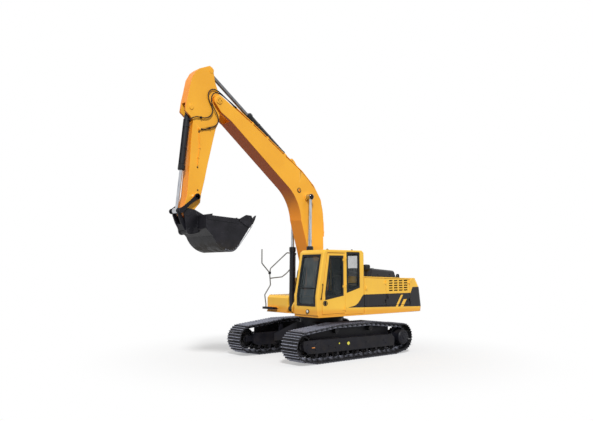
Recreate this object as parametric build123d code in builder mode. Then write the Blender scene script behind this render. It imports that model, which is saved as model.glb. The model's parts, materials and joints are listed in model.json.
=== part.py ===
from build123d import *
from math import acos, atan2, cos, hypot, pi, radians, sin, sqrt, tan
import os

os.makedirs("parts", exist_ok=True)

# Crawler excavator, millimetres. X forward, Y left, Z up.
# The origin is on the ground under the slewing centre.

# Undercarriage
GAUGE = 2380
SHOE_WIDTH = 600
SHOE_LENGTH = 178
LINK_PITCH = 190
LUG_HEIGHT = 26
SHOE_PLATE = 14
CHAIN_DEPTH = 125
PITCH_DEPTH = 85
RAIL_INNER = 50
RAIL_OUTER = 110
WHEEL_X = 1825
WHEEL_Z = 450
LUG_RADIUS = 388
END_ROLLER_X = 1480
ROLLER_Z = 210
END_ROLLER_LIFT = 9
ROLLER_COUNT = 9
CARRIER_X = 650
CARRIER_Z = 765
CARRIER_LUG_RADIUS = 195
RUN_GAP = 0.3
FRAME_HALF = 255
FRAME_SKIRT = 20
FRAME_TOP_FRONT = 599
FRAME_TOP_REAR = 555
FRAME_LOW_FRONT = 262
FRAME_LOW_REAR = 240
FRAME_FRONT_X = 1700
FRAME_REAR_X = -1480
FRAME_FLOOR_Z = 330
FORK_HALF = 130
FORK_REAR_X = 1420
FINAL_DRIVE_RADIUS = 212
FINAL_DRIVE_OUT = 340
MOTOR_PLATE_IN = -205
MOTOR_PLATE_OUT = -155
TOOTH_COUNT = 21
TOOTH_TIP = 326
TOOTH_ROOT = 268
DRUM_RADIUS = 600
DRUM_TOP = 1000
SLEW_RADIUS = 640
SLEW_TOP = 1090

# House
HOUSE_HALF = 1410
DECK_LOW = 1140
DECK_TOP = 1180
DECK_REAR = -2240
DECK_FRONT = 820
CAB_INNER = 480
CAB_REAR = -280
CAB_BASE_FRONT = 1430
CAB_TOP_FRONT = 1215
CAB_ROOF = 2885
CAB_WALL = 55
SKIRT_TOP = 1355
COVER_FRONT = -300
COVER_TOP_FRONT = 2180
COVER_TOP_REAR = 2118
COVER_PLATE = 30
DOOR_SPLIT = -1197
PANEL_THICK = 40
PANEL_GAP = 8
HINGE_RADIUS = 13
HINGE_PIN = 6
HINGE_HALF = 50

# Linkage pivots, each (x, z)
BOOM_FOOT = (300, 2000)
BOOM_TIP = (3700, 6608)
BOOM_RAM_BASE = (780, 1265)
BOOM_RAM_EYE = (740, 4378)
STICK_RAM_BASE = (1200, 5350)
STICK_RAM_EYE = (3880, 7360)
BUCKET_RAM_BASE = (4450, 6330)
BUCKET_RAM_EYE = (4725, 3770)
LEVER_PIVOT = (4298, 4125)
BUCKET_PIVOT = (4530, 3728)
LINK_PIVOT = (4466, 3295)

# Working arm
BOOM_HALF = 240
STICK_HALF = 150
TOWER_IN = 245
TOWER_OUT = 285
RAM_Y = 370
PIN_GAP = 0.3


def side(y):
    """The upright plane at this y, seen from the right, so a positive extrusion goes towards -Y."""
    return Plane.XZ.offset(-y)


def prism(points, y_low, y_high, mode=Mode.ADD):
    """A straight-sided outline in (x, z), carried from y_low to y_high."""
    with BuildSketch(side(y_high)) as face:
        with BuildLine():
            Polyline(*points, close=True)
        make_face()
    extrude(face.sketch, amount=y_high - y_low, mode=mode)


def disc(centre, radius, y_low, y_high, mode=Mode.ADD):
    """A round boss, pin or bore about an axis along Y."""
    with BuildSketch(side(y_high)) as face:
        with Locations(centre):
            Circle(radius)
    extrude(face.sketch, amount=y_high - y_low, mode=mode)


def block(x_span, y_span, z_span, mode=Mode.ADD):
    """A box between two corners."""
    middle = ((x_span[0] + x_span[1]) / 2, (y_span[0] + y_span[1]) / 2, (z_span[0] + z_span[1]) / 2)
    with Locations(middle):
        Box(abs(x_span[1] - x_span[0]), abs(y_span[1] - y_span[0]), abs(z_span[1] - z_span[0]), mode=mode)


def save(piece, name):
    """Labels a finished piece and writes it to its own file."""
    piece.part.label = name
    export_step(piece.part, "parts/" + name + ".step")


def hinge_leaf(axis_x, face, out, reach, low_z):
    """The moving half of a strap hinge on a door: a knuckle with a leaf on the door's face."""
    block((axis_x, axis_x + reach), sorted((face, face + out * 8)), (low_z, low_z + HINGE_HALF))
    with Locations((axis_x, face + out * (HINGE_RADIUS + 2), low_z + HINGE_HALF / 2)):
        Cylinder(HINGE_RADIUS, HINGE_HALF)
        Cylinder(HINGE_PIN + PIN_GAP, HINGE_HALF, mode=Mode.SUBTRACT)


def hinge_mount(axis_x, face, out, reach, low_z):
    """The fixed half of a strap hinge: a knuckle above the door's, a pin through both and its bracket."""
    top_z = low_z + 2 * HINGE_HALF + 1
    block((axis_x - reach, axis_x), sorted((face, face + out * 14)), (low_z + HINGE_HALF + 1, top_z))
    with Locations((axis_x, face + out * (HINGE_RADIUS + 2), top_z - HINGE_HALF / 2)):
        Cylinder(HINGE_RADIUS, HINGE_HALF)
    with Locations((axis_x, face + out * (HINGE_RADIUS + 2), (low_z + top_z) / 2)):
        Cylinder(HINGE_PIN, top_z - low_z)


def along(start, end, distance, offset=0.0):
    """The point this far from start towards end, and this far to the left of that line."""
    length = hypot(end[0] - start[0], end[1] - start[1])
    ux = (end[0] - start[0]) / length
    uz = (end[1] - start[1]) / length
    return (start[0] + ux * distance - uz * offset, start[1] + uz * distance + ux * offset)


# Track path: circles that the lug tips run around, each (x, z, radius), anticlockwise
track_circles = [
    (-END_ROLLER_X, ROLLER_Z, ROLLER_Z),
    (END_ROLLER_X, ROLLER_Z, ROLLER_Z),
    (WHEEL_X, WHEEL_Z, LUG_RADIUS),
    (CARRIER_X, CARRIER_Z, CARRIER_LUG_RADIUS),
    (-CARRIER_X, CARRIER_Z, CARRIER_LUG_RADIUS),
    (-WHEEL_X, WHEEL_Z, LUG_RADIUS),
]


def track_runs(depth):
    """The closed path this far inside the lug tips, as runs and arcs with their lengths."""
    circles = [(x, z, r - depth) for x, z, r in track_circles]
    count = len(circles)
    normals = []
    for i in range(count):
        ax, az, ar = circles[i]
        bx, bz, br = circles[(i + 1) % count]
        normals.append(atan2(bz - az, bx - ax) - acos((ar - br) / hypot(bx - ax, bz - az)))
    pieces = []
    for i in range(count):
        ax, az, ar = circles[i]
        turn = (normals[i] - normals[i - 1]) % (2 * pi)
        pieces.append(("arc", ax, az, ar, normals[i - 1], turn, ar * turn))
        bx, bz, br = circles[(i + 1) % count]
        run = hypot(bx - ax + (br - ar) * cos(normals[i]), bz - az + (br - ar) * sin(normals[i]))
        pieces.append(("run", ax, az, ar, normals[i], 0, run))
    return pieces


def track_place(pieces, distance):
    """The point and outward normal angle at this distance round the path."""
    for kind, x, z, radius, normal, turn, length in pieces:
        if distance <= length:
            if kind == "arc":
                angle = normal + turn * distance / length
                return x + radius * cos(angle), z + radius * sin(angle), angle
            px = x + radius * cos(normal) - distance * sin(normal)
            pz = z + radius * sin(normal) + distance * cos(normal)
            return px, pz, normal
        distance -= length
    return track_place(pieces, distance)


pitch_path = track_runs(PITCH_DEPTH)
path_length = sum(piece[-1] for piece in pitch_path)
shoe_count = round(path_length / LINK_PITCH)
shoe_pitch = path_length / shoe_count

# One shoe's outer outline: columns are distance along the shoe, depth below the lug tips
half = SHOE_LENGTH / 2
web = LUG_HEIGHT + SHOE_PLATE - 3
shoe_outline = [
    (-half, web),
    (-half, 4),
    (-half + 12, 0),
    (-half + 26, LUG_HEIGHT),
    (-14, LUG_HEIGHT),
    (0, 0),
    (14, LUG_HEIGHT),
    (half - 26, LUG_HEIGHT),
    (half - 12, 0),
    (half, 4),
    (half, web),
]


def chain_loop(depth):
    """Points at each half link round the track, this far below the lug tips."""
    loop = []
    for i in range(2 * shoe_count):
        x, z, angle = track_place(pitch_path, (i + 0.5) * shoe_pitch / 2)
        loop.append((x + (PITCH_DEPTH - depth) * cos(angle), z + (PITCH_DEPTH - depth) * sin(angle)))
    kept = []
    for i, point in enumerate(loop):
        before = loop[i - 1]
        after = loop[(i + 1) % len(loop)]
        bend = (point[0] - before[0]) * (after[1] - point[1]) - (point[1] - before[1]) * (after[0] - point[0])
        if abs(bend) > 1:
            kept.append(point)
    return kept


shoe_ring = []
for i in range(shoe_count):
    x, z, angle = track_place(pitch_path, (i + 0.5) * shoe_pitch)
    for distance, depth in shoe_outline:
        out = PITCH_DEPTH - depth
        shoe_ring.append((x + out * cos(angle) - distance * sin(angle), z + out * sin(angle) + distance * cos(angle)))

for name, centre in (("left", GAUGE / 2), ("right", -GAUGE / 2)):
    # Track: shoes with three lugs each on two rails of links
    with BuildPart() as track:
        prism(shoe_ring, centre - SHOE_WIDTH / 2, centre + SHOE_WIDTH / 2)
        inner_ring = chain_loop(LUG_HEIGHT + SHOE_PLATE)
        prism(inner_ring, centre - SHOE_WIDTH / 2, centre + SHOE_WIDTH / 2, mode=Mode.SUBTRACT)
        for low, high in ((-RAIL_OUTER, -RAIL_INNER), (RAIL_INNER, RAIL_OUTER)):
            with BuildSketch(side(centre + high)) as rail:
                with BuildLine():
                    Polyline(*chain_loop(LUG_HEIGHT + SHOE_PLATE - 2), close=True)
                make_face()
                with BuildLine():
                    Polyline(*chain_loop(CHAIN_DEPTH), close=True)
                make_face(mode=Mode.SUBTRACT)
            extrude(rail.sketch, amount=high - low)
    save(track, "track_" + name)

for name, centre, out in (("left", GAUGE / 2, 1), ("right", -GAUGE / 2, -1)):
    # Track frame: a box beam, forked round the idler, with a plate for the travel motor
    with BuildPart() as frame:
        frame_side = [
            (FRAME_FRONT_X, FRAME_TOP_FRONT),
            (FRAME_REAR_X + 110, FRAME_TOP_REAR),
            (FRAME_REAR_X, FRAME_TOP_REAR - 90),
            (FRAME_REAR_X, FRAME_FLOOR_Z),
            (FRAME_REAR_X + 80, FRAME_LOW_REAR),
            (FRAME_FRONT_X - 160, FRAME_LOW_FRONT),
            (FRAME_FRONT_X, FRAME_FLOOR_Z),
        ]
        prism(frame_side, centre - FRAME_HALF, centre + FRAME_HALF)
        # the roller bay under the beam and the slot of the idler fork
        inside = FRAME_HALF - FRAME_SKIRT
        low_z = FRAME_LOW_REAR - 40
        block((FRAME_REAR_X, FRAME_FRONT_X), (centre - inside, centre + inside), (low_z, FRAME_FLOOR_Z), Mode.SUBTRACT)
        fork_slot = (centre - FORK_HALF, centre + FORK_HALF)
        block((FORK_REAR_X, FRAME_FRONT_X), fork_slot, (FRAME_FLOOR_Z, FRAME_TOP_FRONT), Mode.SUBTRACT)
        # idler arms that carry its shaft
        for low, high in ((-FRAME_HALF + 60, -FORK_HALF), (FORK_HALF, FRAME_HALF - 60)):
            block((FORK_REAR_X, WHEEL_X + 90), (centre + low, centre + high), (WHEEL_Z - 75, WHEEL_Z + 75))
        # bearing blocks of the bottom rollers
        for i in range(ROLLER_COUNT):
            x = -END_ROLLER_X + i * 2 * END_ROLLER_X / (ROLLER_COUNT - 1)
            for low, high in ((-inside, -205), (205, inside)):
                x_low = max(x - 45, FRAME_REAR_X)
                block((x_low, x + 45), (centre + low, centre + high), (ROLLER_Z - 40, FRAME_FLOOR_Z))
        # brackets of the carrier rollers
        for x in (-CARRIER_X, CARRIER_X):
            near = sorted((centre - out * 200, centre - out * 140))
            prism([(x - 90, 560), (x - 45, CARRIER_Z + 45), (x + 45, CARRIER_Z + 45), (x + 90, 560)], *near)
        # plate that carries the travel motor
        plate = sorted((centre + out * MOTOR_PLATE_IN, centre + out * MOTOR_PLATE_OUT))
        prism([(FRAME_REAR_X + 90, FRAME_LOW_REAR + 70), (FRAME_REAR_X + 90, FRAME_TOP_REAR - 20),
               (-WHEEL_X, WHEEL_Z + 190), (-WHEEL_X, WHEEL_Z - 190)], *plate)
        disc((-WHEEL_X, WHEEL_Z), 190, *plate)
    save(frame, "track_frame_" + name)

    # Final drive: the travel motor's casing with a round cover, and its sprocket
    with BuildPart() as drive:
        with BuildSketch(Plane.XY) as casing:
            with BuildLine():
                Polyline((0, MOTOR_PLATE_OUT), (FINAL_DRIVE_RADIUS, MOTOR_PLATE_OUT),
                         (FINAL_DRIVE_RADIUS, FINAL_DRIVE_OUT - 60), (FINAL_DRIVE_RADIUS - 40, FINAL_DRIVE_OUT - 15),
                         (60, FINAL_DRIVE_OUT - 15), (60, FINAL_DRIVE_OUT), (0, FINAL_DRIVE_OUT), close=True)
            make_face()
        turned_casing = revolve(casing.sketch, axis=Axis.Y, mode=Mode.PRIVATE)
        if out < 0:
            turned_casing = mirror(turned_casing, about=Plane.XZ, mode=Mode.PRIVATE)
        add(Pos(-WHEEL_X, centre, WHEEL_Z) * turned_casing)
        # the sprocket, a toothed ring between the rails
        with BuildSketch(side(centre + RAIL_INNER - 10)) as teeth:
            with Locations((-WHEEL_X, WHEEL_Z)):
                Circle(TOOTH_ROOT)
                with PolarLocations(TOOTH_ROOT - 4, TOOTH_COUNT):
                    Trapezoid(TOOTH_TIP - TOOTH_ROOT + 4, 44, 70, align=(Align.MIN, Align.CENTER), rotation=0)
                Circle(FINAL_DRIVE_RADIUS - 20, mode=Mode.SUBTRACT)
        extrude(teeth.sketch, amount=2 * (RAIL_INNER - 10))
    save(drive, "travel_drive_" + name)

    # Idler: a dished wheel with a flange between the rails
    tread = sqrt((LUG_RADIUS - CHAIN_DEPTH) ** 2 - (LINK_PITCH / 4 + 1) ** 2) - RUN_GAP
    with BuildPart() as idler:
        with BuildSketch(Plane.XY) as section:
            with BuildLine():
                Polyline((0, 0), (tread + 34, 0), (tread + 34, RAIL_INNER - 12), (tread, RAIL_INNER - 6),
                         (tread, RAIL_OUTER), (tread - 34, RAIL_OUTER), (tread - 46, 32), (120, 32),
                         (108, 92), (62, 96), (62, FORK_HALF), (0, FORK_HALF), close=True)
            make_face()
        half_wheel = revolve(section.sketch, axis=Axis.Y, mode=Mode.PRIVATE)
        add(Pos(WHEEL_X, centre, WHEEL_Z) * half_wheel)
        add(Pos(WHEEL_X, centre, WHEEL_Z) * mirror(half_wheel, about=Plane.XZ, mode=Mode.PRIVATE))
    save(idler, "idler_" + name)

    # Rollers: nine below that carry the machine, two above that carry the track
    bottom = ROLLER_Z - CHAIN_DEPTH - RUN_GAP
    carrier = CARRIER_LUG_RADIUS - CHAIN_DEPTH - RUN_GAP - 2
    with BuildPart() as rollers:
        with BuildSketch(Plane.XY) as section:
            with BuildLine():
                Polyline((0, -205), (30, -205), (30, -165), (60, -160), (60, -128), (bottom + 18, -128),
                         (bottom + 18, -RAIL_OUTER - 4), (bottom, -RAIL_OUTER), (bottom, -RAIL_INNER),
                         (bottom - 14, -RAIL_INNER + 8), (bottom - 14, RAIL_INNER - 8), (bottom, RAIL_INNER),
                         (bottom, RAIL_OUTER), (bottom + 18, RAIL_OUTER + 4), (bottom + 18, 128),
                         (60, 128), (60, 160), (30, 165), (30, 205), (0, 205), close=True)
            make_face()
        roller = revolve(section.sketch, axis=Axis.Y, mode=Mode.PRIVATE)
        for i in range(ROLLER_COUNT):
            x = -END_ROLLER_X + i * 2 * END_ROLLER_X / (ROLLER_COUNT - 1)
            lift = END_ROLLER_LIFT if i in (0, ROLLER_COUNT - 1) else 0
            add(Pos(x, centre, ROLLER_Z + lift) * roller)
        for x in (-CARRIER_X, CARRIER_X):
            inner_end = centre - out * 140
            outer_end = centre + out * 120
            disc((x, CARRIER_Z), carrier, *sorted((centre - 118, centre + 118)))
            disc((x, CARRIER_Z), 32, *sorted((inner_end, outer_end)))
    save(rollers, "rollers_" + name)

# Centre frame: a drum on a box, with four legs out to the track frames
inner_side = GAUGE / 2 - FRAME_HALF
with BuildPart() as centre_frame:
    block((-560, 560), (-420, 420), (430, 900))
    with Locations((0, 0, (820 + DRUM_TOP) / 2)):
        Cylinder(DRUM_RADIUS, DRUM_TOP - 820)
    for end in (-1, 1):
        for out in (-1, 1):
            with BuildSketch(side(out * 400)) as root:
                with BuildLine():
                    Polyline((end * 120, 430), (end * 560, 430), (end * 560, 900), (end * 120, 900), close=True)
                make_face()
            with BuildSketch(side(out * inner_side)) as foot:
                with BuildLine():
                    Polyline((end * 520, 335), (end * 980, 335), (end * 980, 545), (end * 520, 545), close=True)
                make_face()
            loft([root.sketch.faces()[0], foot.sketch.faces()[0]])
save(centre_frame, "centre_frame")

# Tow eye: a level plate with an upright hole on the front of the centre frame
TOW_X = 655
TOW_Z = 520
TOW_HALF = 22
with BuildPart() as tow_eye:
    block((560, TOW_X), (-65, 65), (TOW_Z - TOW_HALF, TOW_Z + TOW_HALF))
    with Locations((TOW_X, 0, TOW_Z)):
        Cylinder(65, 2 * TOW_HALF)
        Cylinder(32, 2 * TOW_HALF, mode=Mode.SUBTRACT)
save(tow_eye, "tow_eye")

# Slew bearing on the drum
with BuildPart() as slew_bearing:
    with BuildSketch(Plane.XY.offset(DRUM_TOP)) as ring:
        Circle(SLEW_RADIUS)
        Circle(SLEW_RADIUS - 150, mode=Mode.SUBTRACT)
    extrude(ring.sketch, amount=SLEW_TOP - DRUM_TOP - RUN_GAP)
save(slew_bearing, "slew_bearing")

# Revolving frame: deck, side beams, the two towers of the boom foot and the ears of the boom rams
with BuildPart() as deck:
    with BuildSketch(Plane.XY.offset(DECK_LOW)) as plan:
        with BuildLine():
            Polyline((DECK_REAR, -HOUSE_HALF), (860, -HOUSE_HALF), (860, -CAB_INNER), (DECK_FRONT, -CAB_INNER),
                     (DECK_FRONT, CAB_INNER), (CAB_BASE_FRONT - 20, CAB_INNER), (CAB_BASE_FRONT - 20, HOUSE_HALF),
                     (DECK_REAR, HOUSE_HALF), close=True)
        make_face()
    extrude(plan.sketch, amount=DECK_TOP - DECK_LOW)
    with Locations((0, 0, (SLEW_TOP + DECK_LOW) / 2)):
        Cylinder(SLEW_RADIUS - 10, DECK_LOW - SLEW_TOP)
    for out in (-1, 1):
        front = COVER_FRONT if out > 0 else 0
        beam = sorted((out * (HOUSE_HALF - 70), out * HOUSE_HALF))
        block((DECK_REAR, front), beam, (DECK_TOP, SKIRT_TOP))
        tower = sorted((out * TOWER_IN, out * TOWER_OUT))
        prism([(-1150, DECK_TOP), (-1150, 1420), (-350, 1560), (150, 1980), (450, 1980), (760, 1500),
               (870, 1330), (870, 1200), (DECK_FRONT, DECK_LOW), (-1150, DECK_LOW)], *tower)
        disc(BOOM_FOOT, 150, *tower)
        ear = sorted((out * 450, out * 472))
        prism([(560, DECK_TOP), (700, 1330), (780, 1365), (870, 1300), (DECK_FRONT, DECK_TOP)], *ear)
        disc(BOOM_RAM_BASE, 95, *ear)
        disc(BOOM_RAM_BASE, 45, *sorted((out * TOWER_OUT, out * 472)))
        disc(BOOM_FOOT, 85, *sorted((out * TOWER_OUT, out * (TOWER_OUT + 8))))
    disc(BOOM_FOOT, 55, -TOWER_IN, TOWER_IN)
save(deck, "revolving_frame")

# Cab shell: a hollow box with raked front, all windows and the door opening cut
DOOR_REAR = 440
DOOR_FRONT = 1272
DOOR_LOW = 1215
DOOR_TOP = 2800
cab_outline = [
    (CAB_REAR, DECK_TOP),
    (CAB_BASE_FRONT, DECK_TOP),
    (CAB_BASE_FRONT, 1700),
    (CAB_TOP_FRONT, CAB_ROOF - 70),
    (CAB_TOP_FRONT - 90, CAB_ROOF),
    (CAB_REAR + 60, CAB_ROOF),
    (CAB_REAR, CAB_ROOF - 60),
]
cab_inside = [
    (CAB_REAR + CAB_WALL, DECK_TOP + CAB_WALL),
    (CAB_BASE_FRONT - CAB_WALL, DECK_TOP + CAB_WALL),
    (CAB_BASE_FRONT - CAB_WALL, 1695),
    (CAB_TOP_FRONT - CAB_WALL, CAB_ROOF - 90),
    (CAB_TOP_FRONT - 110, CAB_ROOF - CAB_WALL),
    (CAB_REAR + 80, CAB_ROOF - CAB_WALL),
    (CAB_REAR + CAB_WALL, CAB_ROOF - 80),
]
door_hole = [(DOOR_REAR, DOOR_LOW), (DOOR_FRONT, DOOR_LOW), (DOOR_FRONT, 1700),
             (DOOR_FRONT - 190, DOOR_TOP), (DOOR_REAR, DOOR_TOP)]
side_window = [(-110, 1885), (380, 1755), (380, 2825), (-110, 2825)]
CAB_HINGE_X = DOOR_REAR + PANEL_GAP + 10
CAB_HINGES = (1300, 1900, 2600)
SCREEN_Y = (CAB_INNER + 120, HOUSE_HALF - 105)
REAR_GLASS_Y = (CAB_INNER + 140, HOUSE_HALF - 140)
right_window = [(120, 1700), (1180, 1640), (1010, 2800), (120, 2800)]
with BuildPart() as cab:
    prism(cab_outline, CAB_INNER, HOUSE_HALF)
    prism(cab_inside, CAB_INNER + CAB_WALL, HOUSE_HALF - CAB_WALL, Mode.SUBTRACT)
    prism(door_hole, HOUSE_HALF - CAB_WALL, HOUSE_HALF, Mode.SUBTRACT)
    prism(side_window, HOUSE_HALF - CAB_WALL, HOUSE_HALF, Mode.SUBTRACT)
    prism(right_window, CAB_INNER, CAB_INNER + CAB_WALL, Mode.SUBTRACT)
    block((1050, CAB_BASE_FRONT), SCREEN_Y, (1430, 2755), Mode.SUBTRACT)
    block((CAB_REAR, CAB_REAR + CAB_WALL), REAR_GLASS_Y, (1950, 2790), Mode.SUBTRACT)
    for low_z in CAB_HINGES:
        hinge_mount(CAB_HINGE_X, HOUSE_HALF, 1, 70, low_z)
save(cab, "cab_shell")

# Cab glass: side, right, rear and the two panes of the windscreen
GLASS = 6
with BuildPart() as glass:
    prism(side_window, HOUSE_HALF - 30, HOUSE_HALF - 30 + GLASS)
    prism(right_window, CAB_INNER + 24, CAB_INNER + 24 + GLASS)
    block((CAB_REAR + 24, CAB_REAR + 24 + GLASS), REAR_GLASS_Y, (1950, 2790))
    rake = (CAB_BASE_FRONT - CAB_TOP_FRONT) / (CAB_ROOF - 70 - 1700)
    back = 24
    low_pane = [(CAB_BASE_FRONT - back, 1430), (CAB_BASE_FRONT - back, 1700), (CAB_BASE_FRONT - back - 190 * rake, 1890),
                (CAB_BASE_FRONT - back - GLASS - 190 * rake, 1890), (CAB_BASE_FRONT - back - GLASS, 1700),
                (CAB_BASE_FRONT - back - GLASS, 1430)]
    prism(low_pane, *SCREEN_Y)
    low_x = CAB_BASE_FRONT - back - 190 * rake
    high_x = CAB_BASE_FRONT - back - (2755 - 1700) * rake
    prism([(low_x, 1890), (high_x, 2755), (high_x - GLASS, 2755), (low_x - GLASS, 1890)], *SCREEN_Y)
save(glass, "cab_windows")

# Cab door with its window, hinged at its rear edge
door_outline = [(DOOR_REAR + PANEL_GAP, DOOR_LOW + PANEL_GAP), (DOOR_FRONT - 10, DOOR_LOW + PANEL_GAP),
                (DOOR_FRONT - 10, 1700), (DOOR_FRONT - 200, DOOR_TOP - PANEL_GAP),
                (DOOR_REAR + PANEL_GAP, DOOR_TOP - PANEL_GAP)]
door_window = [(DOOR_REAR + 70, 1690), (DOOR_FRONT - 110, 1590), (DOOR_FRONT - 105, 1760),
               (DOOR_FRONT - 262, DOOR_TOP - 70), (DOOR_REAR + 70, DOOR_TOP - 70)]
DOOR_THICK = 50
with BuildPart() as door:
    prism(door_outline, HOUSE_HALF - DOOR_THICK, HOUSE_HALF)
    prism(door_window, HOUSE_HALF - DOOR_THICK, HOUSE_HALF, Mode.SUBTRACT)
    disc((DOOR_FRONT - 105, 1500), 48, HOUSE_HALF - 22, HOUSE_HALF, Mode.SUBTRACT)
    for low_z in CAB_HINGES:
        hinge_leaf(CAB_HINGE_X, HOUSE_HALF, 1, 80, low_z)
save(door, "cab_door")
with BuildPart() as door_glass:
    prism(door_window, HOUSE_HALF - 28, HOUSE_HALF - 28 + GLASS)
save(door_glass, "door_window")

# Round work lamp low on the cab's front
LAMP_PLACE = (CAB_INNER + 552, 1289)
LAMP_RADIUS = 52
with BuildPart() as lamp:
    with BuildSketch(Plane.YZ.offset(CAB_BASE_FRONT)) as bezel:
        with Locations(LAMP_PLACE):
            Circle(LAMP_RADIUS)
    extrude(bezel.sketch, amount=26)
    with BuildSketch(Plane.YZ.offset(CAB_BASE_FRONT + 26)) as dish:
        with Locations(LAMP_PLACE):
            Circle(LAMP_RADIUS - 9)
    extrude(dish.sketch, amount=-8, mode=Mode.SUBTRACT)
save(lamp, "work_lamp")

# Operator's seat on its base
SEAT_Y = (CAB_INNER + HOUSE_HALF) / 2
CONSOLE_OUT = (HOUSE_HALF - CAB_INNER) / 2 - CAB_WALL - 30
floor_z = DECK_TOP + CAB_WALL
with BuildPart() as seat:
    block((150, 560), (SEAT_Y - 200, SEAT_Y + 200), (floor_z, floor_z + 300))
    block((120, 640), (SEAT_Y - 255, SEAT_Y + 255), (floor_z + 300, floor_z + 430))
    prism([(120, floor_z + 430), (270, floor_z + 430), (170, floor_z + 1000), (40, floor_z + 1000)],
          SEAT_Y - 245, SEAT_Y + 245)
    prism([(62, floor_z + 1000), (150, floor_z + 1000), (125, floor_z + 1180), (45, floor_z + 1180)],
          SEAT_Y - 130, SEAT_Y + 130)
save(seat, "operator_seat")

# Controls: two consoles with sticks, and travel pedals with levers
with BuildPart() as controls:
    for out in (-1, 1):
        console = sorted((SEAT_Y + out * (CONSOLE_OUT - 110), SEAT_Y + out * CONSOLE_OUT))
        prism([(150, floor_z), (560, floor_z), (700, floor_z + 480), (700, floor_z + 560), (150, floor_z + 560)],
              *console)
        with Locations((640, SEAT_Y + out * (CONSOLE_OUT - 55), floor_z + 640)):
            Cylinder(16, 160)
        with Locations((640, SEAT_Y + out * (CONSOLE_OUT - 55), floor_z + 750)):
            Cylinder(26, 70)
    for out in (-1, 1):
        block((980, 1180), sorted((SEAT_Y + out * 30, SEAT_Y + out * 130)), (floor_z, floor_z + 40))
        with Locations((1060, SEAT_Y + out * 80, floor_z + 320)):
            Cylinder(14, 570)
save(controls, "cab_controls")


def cover_z(x):
    """Height of the house's sloping top at this x."""
    return COVER_TOP_FRONT + (COVER_TOP_REAR - COVER_TOP_FRONT) * (x - COVER_FRONT) / (DECK_REAR - COVER_FRONT)


# House cover: sloping roof plate with the engine bay cut, front wall and door posts
BAY_FRONT = -1130
BAY_HALF = 880
PUMP_BAY_FRONT = -1300
BEAM_IN = HOUSE_HALF - 70
DOOR_FACE = HOUSE_HALF - 5
DOOR_HINGES = (1420, 1960)
SPLIT_HINGE_X = DOOR_SPLIT + 18
REAR_HINGE_X = DECK_REAR + PANEL_GAP + 10
CLEANER = (-960, HOUSE_HALF - 540)
with BuildPart() as cover:
    prism([(COVER_FRONT, cover_z(COVER_FRONT) - COVER_PLATE), (DECK_REAR, cover_z(DECK_REAR) - COVER_PLATE),
           (DECK_REAR, cover_z(DECK_REAR)), (COVER_FRONT, cover_z(COVER_FRONT))], -HOUSE_HALF + 5, HOUSE_HALF - 5)
    block((BAY_FRONT, DECK_REAR + 25), (-BAY_HALF, BAY_HALF), (2050, 2250), Mode.SUBTRACT)
    block((PUMP_BAY_FRONT, COVER_FRONT), (-HOUSE_HALF, -CAB_INNER + 10), (2050, 2250), Mode.SUBTRACT)
    block((COVER_FRONT - 30, COVER_FRONT), (-CAB_INNER + 10, BEAM_IN - 5), (DECK_TOP, 2160))
    for tower in ((-TOWER_OUT - 5, -TOWER_IN + 5), (TOWER_IN - 5, TOWER_OUT + 5)):
        block((COVER_FRONT - 30, COVER_FRONT), tower, (DECK_TOP, 1620), Mode.SUBTRACT)
    block((DOOR_SPLIT - 40, DOOR_SPLIT + 40), (BEAM_IN - 50, BEAM_IN - 5), (DECK_TOP, 2130))
    block((PUMP_BAY_FRONT, PUMP_BAY_FRONT + 40), (-BEAM_IN + 5, -880), (DECK_TOP, 2130))
    # pad of the pre-cleaner
    with Locations((CLEANER[0], CLEANER[1], cover_z(CLEANER[0]) - 4)):
        Cylinder(62, 20)
    # brackets of the battery door's hinges
    for low_z in DOOR_HINGES:
        strap_z = (low_z + HINGE_HALF + 1, low_z + 2 * HINGE_HALF + 1)
        block((DOOR_SPLIT - 2, DOOR_SPLIT + 2), (BEAM_IN - 6, DOOR_FACE + 20), strap_z)
        hinge_mount(SPLIT_HINGE_X, DOOR_FACE, 1, SPLIT_HINGE_X - DOOR_SPLIT, low_z)
save(cover, "house_cover")

# Side doors of the house, each hinged at its rear edge
# columns: name, front x, rear x, side, hinge axis x, plane that the hinge lies on
side_doors = [
    ("battery_door", COVER_FRONT - PANEL_GAP, DOOR_SPLIT + PANEL_GAP, 1, SPLIT_HINGE_X, DOOR_FACE),
    ("radiator_door", DOOR_SPLIT - PANEL_GAP, DECK_REAR + PANEL_GAP, 1, REAR_HINGE_X, HOUSE_HALF),
    ("pump_door", PUMP_BAY_FRONT - PANEL_GAP, DECK_REAR + PANEL_GAP, -1, REAR_HINGE_X, HOUSE_HALF),
]
for name, front, rear, out, hinge_x, hinge_face in side_doors:
    with BuildPart() as panel:
        y_span = sorted((out * (DOOR_FACE - PANEL_THICK), out * DOOR_FACE))
        low = SKIRT_TOP + PANEL_GAP
        prism([(front, low), (front, cover_z(front) - COVER_PLATE - PANEL_GAP),
               (rear, cover_z(rear) - COVER_PLATE - PANEL_GAP), (rear, low)], *y_span)
        if name == "radiator_door":
            # cooling louvres, five rows of four
            for row in range(5):
                for column in range(4):
                    x = -1345 - 55 - column * 218
                    z = 2080 - 32 - row * 68
                    block((x - 80, x + 80), y_span, (z - 17, z + 17), Mode.SUBTRACT)
        for low_z in DOOR_HINGES:
            hinge_leaf(hinge_x, out * hinge_face, out, 90, low_z)
            leaf_y = sorted((out * DOOR_FACE, out * (hinge_face + 4)))
            block((hinge_x, hinge_x + 90), leaf_y, (low_z, low_z + HINGE_HALF))
    save(panel, name)

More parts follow.
